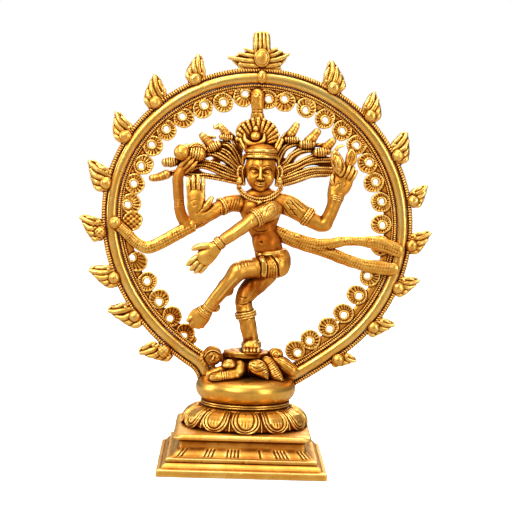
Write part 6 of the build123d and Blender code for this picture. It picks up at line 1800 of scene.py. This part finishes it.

# how shut in each point is: a blurred solid of the whole statue, read a little way out from the surface; near, far and
# cav later darken the brass colour, partly as patina kept in the hollows and partly as painted shade in recesses and
# between parts
HG = 0.5
lo = np.array([-80.0, -40.0, -2.0])
dims = np.ceil((np.array([90.0, 42.0, 205.0]) - lo) / HG).astype(int)
solid = np.zeros(dims, F4)
for it in made:
    p = it["p"]
    a, b = p.min(0) - 2, p.max(0) + 2
    i0 = np.maximum(((a - lo) / HG).astype(int), 0)
    i1 = np.minimum(np.ceil((b - lo) / HG).astype(int) + 1, dims)
    tri = np.vstack([it["q"][:, :3], it["q"][:, [0, 2, 3]]])
    t = openvdb.createLinearTransform(HG)
    g = openvdb.FloatGrid.createLevelSetFromPolygons((p - (lo + i0 * HG)).astype(F4), triangles=tri.astype(np.uint32), transform=t, halfWidth=2.0)
    arr = np.full(i1 - i0, 1.0, F4)
    g.copyToArray(arr)
    solid[i0[0]:i1[0], i0[1]:i1[1], i0[2]:i1[2]] = np.maximum(solid[i0[0]:i1[0], i0[1]:i1[1], i0[2]:i1[2]], np.clip(0.5 - arr / HG, 0, 1))


def blur(a, r):
    """Three box blurs of radius r cells."""
    for _ in range(2):
        for ax in range(3):
            n = a.shape[ax]
            c = np.cumsum(np.pad(a, [(r + 1, r) if k == ax else (0, 0) for k in range(3)], mode="edge"), axis=ax, dtype=np.float64)
            hi = np.take(c, np.arange(2 * r + 1, 2 * r + 1 + n), axis=ax)
            lw = np.take(c, np.arange(0, n), axis=ax)
            a = ((hi - lw) / (2 * r + 1)).astype(F4)
    return a


fine, wide = blur(solid, 1), blur(solid, 4)


def read(vol, p):
    g = (p - lo) / HG
    g = np.clip(g, 0, np.array(vol.shape) - 1.001)
    i = g.astype(int)
    f = g - i
    out = 0
    for dx in (0, 1):
        for dy in (0, 1):
            for dz in (0, 1):
                wgt = np.abs(1 - dx - f[:, 0]) * np.abs(1 - dy - f[:, 1]) * np.abs(1 - dz - f[:, 2])
                out = out + vol[i[:, 0] + dx, i[:, 1] + dy, i[:, 2] + dz] * wgt
    return out


def mesh_cavity(p, q, n, rounds):
    """Positive in hollows, negative on edges, from how far the neighbours' average lies along the normal."""
    e = np.vstack([q[:, [0, 1]], q[:, [1, 2]], q[:, [2, 3]], q[:, [3, 0]]])
    cnt = np.maximum(np.bincount(e[:, 0], minlength=len(p)) + np.bincount(e[:, 1], minlength=len(p)), 1)
    m = p.copy()
    for _ in range(rounds):
        s = np.zeros_like(m)
        for k in range(3):
            s[:, k] = np.bincount(e[:, 0], m[e[:, 1], k], len(p)) + np.bincount(e[:, 1], m[e[:, 0], k], len(p))
        m = 0.3 * m + 0.7 * s / cnt[:, None]
    return np.einsum("ij,ij->i", m - p, n)


# places that were never polished back: belly, thighs, upper arm, the dwarf's recess, the halo's lower inside
AGED_NODES = ("torso", "hips", "leg_standing", "leg_raised", "arm_rear_right", "arm_front_right", "arm_rear_left", "dwarf_body", "rosettes_left", "rosettes_right", "drum_seat", "sash_right", "necklace", "hair_left", "hair_right")
AGED = [
    ((7.55, -6.00, 106.31), (6.0, 8.0, 6.5), 0.75), ((3.62, -4.00, 84.21), (8.0, 9.0, 6.0), 1.0), ((-1.23, -5.00, 75.78), (5.0, 8.0, 5.0), 0.55), ((0.31, -6.00, 70.34), (5.0, 8.0, 1.6), 0.5),
    ((-9.04, 0.00, 120.33), (11.0, 7.0, 4.5), 0.75), ((-5.85, -4.00, 122.00), (5.0, 6.0, 3.0), 0.5), ((1.57, -4.00, 44.41), (12.0, 12.0, 7.0), 1.0), ((1.22, -6.00, 40.00), (26.0, 12.0, 2.2), 0.9),
    ((-27.45, 2.00, 61.48), (5.0, 8.0, 5.0), 1.0), ((-33.97, 2.00, 68.16), (4.0, 8.0, 4.0), 0.75), ((-19.95, 2.00, 55.36), (4.5, 8.0, 4.5), 1.0), ((-50.50, 2.00, 93.22), (5.0, 8.0, 3.5), 0.6),
    ((8.34, -4.00, 111.77), (6.0, 8.0, 3.5), 0.8), ((19.24, -4.00, 118.58), (6.0, 5.0, 4.0), 0.35), ((-20.70, 2.00, 137.58), (14.0, 5.0, 5.0), 0.35), ((27.67, 2.00, 138.10), (14.0, 5.0, 6.0), 0.30), ((17.61, 2.00, 147.09), (9.0, 5.0, 5.0), 0.3), ((-7.94, 2.00, 146.32), (9.0, 5.0, 5.0), 0.3),
]
for it in made:
    p, q = it["p"], it["q"]
    n, _ = vertex_normals(p, q)
    it["n"] = n
    # near and far: how far the statue closes round a point, used in the colour as painted shade along with the patina
    near = read(fine, p + n * 0.55)
    far = read(wide, p + n * 1.6)
    cav = mesh_cavity(p, q, n, 7)
    it["near"] = np.clip(near * 1.15, 0, 1)
    it["far"] = np.clip((far - 0.22) * 1.9, 0, 1)
    it["cav"] = np.clip(0.5 + cav / 0.34, 0, 1)
    age = np.zeros(len(p))
    for c, r, k in AGED:
        if it["replaces"] in AGED_NODES:
            age = np.maximum(age, k * np.exp(-(((p - np.array(c)) / np.array(r)) ** 2).sum(1)))
    it["age"] = age
    it["edge"] = np.clip(0.5 - mesh_cavity(p, q, n, 2) / 0.10, 0, 1)


def brass(name, bright, mid, dark, rough=0.24, wear=1.0, grime_and_shade=1.0, bump=1.0, brushed=0.0):
    """Cast and polished brass: bright on the edges, brown patina in the hollows together with painted shade in recesses
    and between parts, tiny pits and scratches.
    """
    m = bpy.data.materials.new(name)
    m.use_nodes = True
    t = m.node_tree
    t.nodes.clear()
    N = lambda k: t.nodes.new(k)
    L = t.links.new
    out, b = N("ShaderNodeOutputMaterial"), N("ShaderNodeBsdfPrincipled")
    L(b.outputs[0], out.inputs[0])
    tc = N("ShaderNodeTexCoord")

    def attr(k):
        a = N("ShaderNodeAttribute")
        a.attribute_name = k
        return a.outputs["Fac"]

    def math_(op, x, y=None, clamp=False):
        q = N("ShaderNodeMath")
        q.operation = op
        q.use_clamp = clamp
        for i, v in enumerate((x, y)):
            if v is None:
                continue
            if isinstance(v, (int, float)):
                q.inputs[i].default_value = v
            else:
                L(v, q.inputs[i])
        return q.outputs[0]

    def noise(scale, detail=4, rough_=0.6, stretch=None):
        q = N("ShaderNodeTexNoise")
        q.inputs["Scale"].default_value = scale
        q.inputs["Detail"].default_value = detail
        q.inputs["Roughness"].default_value = rough_
        if stretch:
            mp = N("ShaderNodeMapping")
            mp.inputs["Scale"].default_value = stretch
            L(tc.outputs["Object"], mp.inputs["Vector"])
            L(mp.outputs[0], q.inputs["Vector"])
        else:
            L(tc.outputs["Object"], q.inputs["Vector"])
        return q.outputs["Fac"]

    def ramp(x, stops, interp="LINEAR"):
        q = N("ShaderNodeValToRGB")
        q.color_ramp.interpolation = interp
        e = q.color_ramp.elements
        while len(e) < len(stops):
            e.new(0.5)
        for el, (pos, col) in zip(e, stops):
            el.position = pos
            el.color = (*col, 1) if len(col) == 3 else col
        L(x, q.inputs[0])
        return q.outputs[0]

    def grey(x, stops):
        return ramp(x, [(a, (v, v, v)) for a, v in stops])

    def mix(f, a, b_, kind="MIX"):
        q = N("ShaderNodeMix")
        q.data_type = "RGBA"
        q.blend_type = kind
        for s, v in ((q.inputs[0], f), (q.inputs[6], a), (q.inputs[7], b_)):
            if isinstance(v, (int, float)):
                s.default_value = v
            elif isinstance(v, tuple):
                s.default_value = (*v, 1)
            else:
                L(v, s)
        return q.outputs[2]

    cav, near, far, edge, age = attr("cav"), attr("near"), attr("far"), attr("edge"), attr("age")
    n_big, n_mid, n_fine = noise(55, 5, 0.62), noise(230, 5, 0.65), noise(1400, 3, 0.6)
    # shelter 0..1: 1 deep in a recess; it darkens the colour, partly as patina kept in the hollows and partly as
    # painted shade where the statue closes round a point
    patina_and_shade = math_("ADD", math_("MULTIPLY", grey(cav, [(0.50, 0), (0.80, 1)]), 0.95), math_("MULTIPLY", grey(near, [(0.10, 0), (0.55, 1)]), 0.85))
    patina_and_shade = math_("ADD", patina_and_shade, math_("MULTIPLY", far, 0.50))
    patina_and_shade = math_("ADD", patina_and_shade, math_("MULTIPLY", math_("SUBTRACT", n_big, 0.5), 0.55))
    patina_and_shade = math_("ADD", patina_and_shade, math_("MULTIPLY", math_("SUBTRACT", n_mid, 0.5), 0.42))
    patina_and_shade = math_("SUBTRACT", patina_and_shade, math_("MULTIPLY", grey(edge, [(0.55, 0), (0.85, 1)]), 0.30 * wear))
    patina_and_shade = math_("ADD", patina_and_shade, math_("MULTIPLY", age, math_("ADD", 0.12, math_("MULTIPLY", n_big, 0.62))))
    patina_and_shade = math_("MULTIPLY", patina_and_shade, grime_and_shade, clamp=True)
    # painted shade with the patina: the more sheltered a point, the darker brown, down to near black
    col = ramp(patina_and_shade, [(0.0, bright), (0.17, mid), (0.40, tuple(0.52 * a + 0.48 * c for a, c in zip(mid, dark))), (0.68, dark), (0.95, tuple(0.45 * c for c in dark))])
    # slow drift between yellower and redder brass
    drift = grey(noise(26, 3, 0.5), [(0.38, 0), (0.62, 1)])
    col = mix(math_("MULTIPLY", drift, 0.22), col, (0.98, 0.62, 0.30), "MULTIPLY")
    spots = grey(noise(620, 2, 0.5), [(0.63, 0), (0.70, 1)])
    col = mix(math_("MULTIPLY", spots, 0.30 * grime_and_shade), col, tuple(0.6 * c for c in dark))
    L(col, b.inputs["Base Color"])
    b.inputs["Metallic"].default_value = 1.0
    # roughness gets its own fine variation
    rv = math_("ADD", grey(patina_and_shade, [(0.0, rough), (0.35, rough + 0.09), (0.7, 0.50), (1.0, 0.72)]), math_("MULTIPLY", math_("SUBTRACT", n_mid, 0.5), 0.16), clamp=True)
    L(rv, b.inputs["Roughness"])
    # bump: casting skin, pits and fine scratches
    hsum = math_("ADD", math_("MULTIPLY", n_mid, 0.55), math_("MULTIPLY", n_fine, 0.25))
    scr = noise(900, 2, 0.5, (1.0, 1.0, 0.07) if brushed >= 0 else (0.07, 1, 1))
    hsum = math_("ADD", hsum, math_("MULTIPLY", scr, 0.22 + abs(brushed)))
    bp = N("ShaderNodeBump")
    bp.inputs["Strength"].default_value = 0.22 * bump
    bp.inputs["Distance"].default_value = 0.00016
    L(hsum, bp.inputs["Height"])
    L(bp.outputs[0], b.inputs["Normal"])
    return m


LOOKS = {
    "polish": brass("Polished brass", (0.95, 0.67, 0.21), (0.84, 0.47, 0.085), (0.38, 0.115, 0.012), 0.28, 1.0, 0.85, 0.55, 0.15),
    "base": brass("Base brass", (0.94, 0.66, 0.21), (0.82, 0.46, 0.085), (0.42, 0.135, 0.014), 0.40, 1.0, 1.05, 1.0, 0.2),
    "lotus": brass("Lotus brass", (0.94, 0.64, 0.18), (0.80, 0.42, 0.070), (0.38, 0.100, 0.008), 0.34, 1.0, 1.15, 1.0),
    "fix": brass("Fixing brass", (0.80, 0.60, 0.30), (0.62, 0.42, 0.16), (0.22, 0.12, 0.05), 0.32, 0.6, 1.1, 1.0),
    "cord": brass("Cord brass", (0.88, 0.54, 0.13), (0.68, 0.31, 0.046), (0.28, 0.060, 0.005), 0.36, 1.1, 1.35, 0.7),
    "relief": brass("Relief brass", (0.92, 0.61, 0.17), (0.76, 0.38, 0.058), (0.31, 0.070, 0.005), 0.35, 1.1, 1.20, 0.9),
    "flame": brass("Flame brass", (0.95, 0.67, 0.21), (0.82, 0.46, 0.085), (0.36, 0.105, 0.010), 0.33, 1.1, 1.0, 0.9),
    "figure": brass("Figure brass", (0.93, 0.62, 0.17), (0.79, 0.41, 0.064), (0.33, 0.080, 0.006), 0.33, 1.0, 1.15, 0.8),
    "face": brass("Face brass", (0.90, 0.55, 0.12), (0.76, 0.37, 0.050), (0.30, 0.072, 0.005), 0.34, 0.9, 1.15, 0.35),
    "aged": brass("Aged brass", (0.88, 0.52, 0.12), (0.73, 0.33, 0.046), (0.42, 0.115, 0.010), 0.37, 0.9, 1.25, 1.0),
    "hair": brass("Hair brass", (0.92, 0.60, 0.17), (0.72, 0.34, 0.048), (0.26, 0.052, 0.004), 0.34, 1.2, 1.45, 0.6),
    "cordfig": brass("Twisted cord brass", (0.90, 0.57, 0.14), (0.74, 0.36, 0.052), (0.29, 0.065, 0.005), 0.35, 1.0, 1.3, 0.5),
    "dwarf": brass("Dwarf brass", (0.90, 0.56, 0.13), (0.70, 0.34, 0.048), (0.26, 0.055, 0.004), 0.35, 1.0, 1.4, 0.9),
}

total = 0
for it in made:
    p, q = it["p"] / 1000.0, it["q"]
    me = bpy.data.meshes.new(it["name"])
    me.vertices.add(len(p))
    me.vertices.foreach_set("co", p.astype(F4).ravel())
    me.loops.add(q.size)
    me.loops.foreach_set("vertex_index", q.astype(np.int32).ravel())
    me.polygons.add(len(q))
    me.polygons.foreach_set("loop_start", np.arange(0, q.size, 4, dtype=np.int32))
    me.polygons.foreach_set("use_smooth", np.ones(len(q), bool))
    me.update(calc_edges=True)
    me.validate()
    for k in ("cav", "near", "far", "edge", "age"):
        a = me.attributes.new(k, "FLOAT", "POINT")
        if len(a.data) == len(it[k]):
            a.data.foreach_set("value", it[k].astype(F4))
    me.materials.append(LOOKS[it["look"]])
    ob = bpy.data.objects.new(it["name"], me)
    bpy.context.scene.collection.objects.link(ob)
    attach(ob, "root")
    r = it["replaces"]
    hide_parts(*(r if isinstance(r, (list, tuple)) else (r,)))
    total += 2 * len(q)
    if 2 * len(q) > 195000:
        print("heavy piece", it["name"], 2 * len(q))
print("pieces", len(made), "triangles", total)

# =============================================================================================
# Camera, floor and light
# =============================================================================================
bpy.context.scene.view_settings.view_transform = "Standard"
cam = bpy.data.cameras.new("Camera")
cam.sensor_width = 36.0
cam.lens = 1709.0 * 36.0 / 512.0
cam.clip_start, cam.clip_end = 0.05, 20
co = bpy.data.objects.new("Camera", cam)
bpy.context.scene.collection.objects.link(co)
yaw, pitch, roll = math.radians(0.99), math.radians(4.20), math.radians(1.75)
fwd = Vector((math.sin(yaw) * math.cos(pitch), math.cos(yaw) * math.cos(pitch), -math.sin(pitch)))
right = Vector((math.cos(yaw), -math.sin(yaw), 0))
up = right.cross(fwd)
r2 = right * math.cos(roll) + up * math.sin(roll)
u2 = -right * math.sin(roll) + up * math.cos(roll)
mat = Matrix((r2, u2, -fwd)).transposed().to_4x4()
mat.translation = Vector((-0.0095, -0.7934, 0.1557))
co.matrix_world = mat
bpy.context.scene.camera = co

def stage_floor():
    """Pale paper: lit softly and lifted to white for the eye, plain and dim for everything reflecting it."""
    m = bpy.data.materials.new("Pale paper floor")
    m.use_nodes = True
    t = m.node_tree
    t.nodes.clear()
    o, lp_ = t.nodes.new("ShaderNodeOutputMaterial"), t.nodes.new("ShaderNodeLightPath")
    d1, d2, em, ad, mi = (t.nodes.new(k) for k in ("ShaderNodeBsdfDiffuse", "ShaderNodeBsdfDiffuse", "ShaderNodeEmission", "ShaderNodeAddShader", "ShaderNodeMixShader"))
    nz_, cr_ = t.nodes.new("ShaderNodeTexNoise"), t.nodes.new("ShaderNodeValToRGB")
    nz_.inputs["Scale"].default_value = 30
    cr_.color_ramp.elements[0].color, cr_.color_ramp.elements[1].color = (0.80, 0.80, 0.80, 1), (0.84, 0.84, 0.84, 1)
    t.links.new(nz_.outputs["Fac"], cr_.inputs[0])
    t.links.new(cr_.outputs[0], d1.inputs[0])
    d2.inputs[0].default_value = (0.45, 0.40, 0.34, 1)
    em.inputs[1].default_value = 0.80
    t.links.new(d1.outputs[0], ad.inputs[0])
    t.links.new(em.outputs[0], ad.inputs[1])
    t.links.new(lp_.outputs["Is Camera Ray"], mi.inputs[0])
    t.links.new(d2.outputs[0], mi.inputs[1])
    t.links.new(ad.outputs[0], mi.inputs[2])
    t.links.new(mi.outputs[0], o.inputs[0])
    return m



bpy.ops.mesh.primitive_plane_add(size=6.0, location=(0, 0, -0.0002))
floor = bpy.context.object
floor.name = "Floor"
floor.data.materials.append(stage_floor())

world = bpy.data.worlds.new("Studio")
bpy.context.scene.world = world
world.use_nodes = True
wt = world.node_tree
wt.nodes.clear()
wo = wt.nodes.new("ShaderNodeOutputWorld")
lp = wt.nodes.new("ShaderNodeLightPath")
bg1, bg2 = wt.nodes.new("ShaderNodeBackground"), wt.nodes.new("ShaderNodeBackground")
mx = wt.nodes.new("ShaderNodeMixShader")
tc = wt.nodes.new("ShaderNodeTexCoord")
sp = wt.nodes.new("ShaderNodeSeparateXYZ")
wr = wt.nodes.new("ShaderNodeValToRGB")
wt.links.new(tc.outputs["Generated"], sp.inputs[0])
ma = wt.nodes.new("ShaderNodeMapRange")
ma.inputs["From Min"].default_value, ma.inputs["From Max"].default_value = -1, 1
wt.links.new(sp.outputs["Z"], ma.inputs["Value"])
wt.links.new(ma.outputs[0], wr.inputs[0])
e = wr.color_ramp.elements
for pos, v in ((0.0, 0.10), (0.47, 0.14), (0.56, 0.22), (0.74, 0.55), (1.0, 0.95)):
    if pos in (0.0, 1.0):
        el = e[0] if pos == 0.0 else e[-1]
    else:
        el = e.new(pos)
    el.color = (v, v * 0.99, v * 0.97, 1)
wt.links.new(wr.outputs[0], bg1.inputs[0])
bg1.inputs[1].default_value = 0.82
bg2.inputs[0].default_value = (1, 1, 1, 1)
bg2.inputs[1].default_value = 1.0
wt.links.new(lp.outputs["Is Camera Ray"], mx.inputs[0])
wt.links.new(bg1.outputs[0], mx.inputs[1])
wt.links.new(bg2.outputs[0], mx.inputs[2])
wt.links.new(mx.outputs[0], wo.inputs[0])


def area(name, loc, target, size, size_y, power, color=(1, 1, 1)):
    d = bpy.data.lights.new(name, "AREA")
    d.shape = "RECTANGLE"
    d.size, d.size_y, d.energy, d.color = size, size_y, power, color
    o = bpy.data.objects.new(name, d)
    bpy.context.scene.collection.objects.link(o)
    o.location = loc
    o.rotation_euler = (Vector(target) - Vector(loc)).to_track_quat("-Z", "Y").to_euler()
    return o


area("Key", (-0.42, -0.80, 0.62), (0, 0, 0.1), 0.50, 0.60, 6.8, (1.0, 0.98, 0.94))
area("Fill", (0.62, -0.62, 0.30), (0, 0, 0.1), 0.26, 0.62, 2.7, (1.0, 0.97, 0.93))
area("Top", (0.0, -0.12, 0.85), (0, 0, 0.1), 0.6, 0.4, 3.1)
area("Left", (-0.85, 0.05, 0.30), (0, 0, 0.1), 0.28, 0.7, 2.6)
area("Back", (0.15, 0.8, 0.6), (0, 0, 0.1), 0.6, 0.4, 4.4)
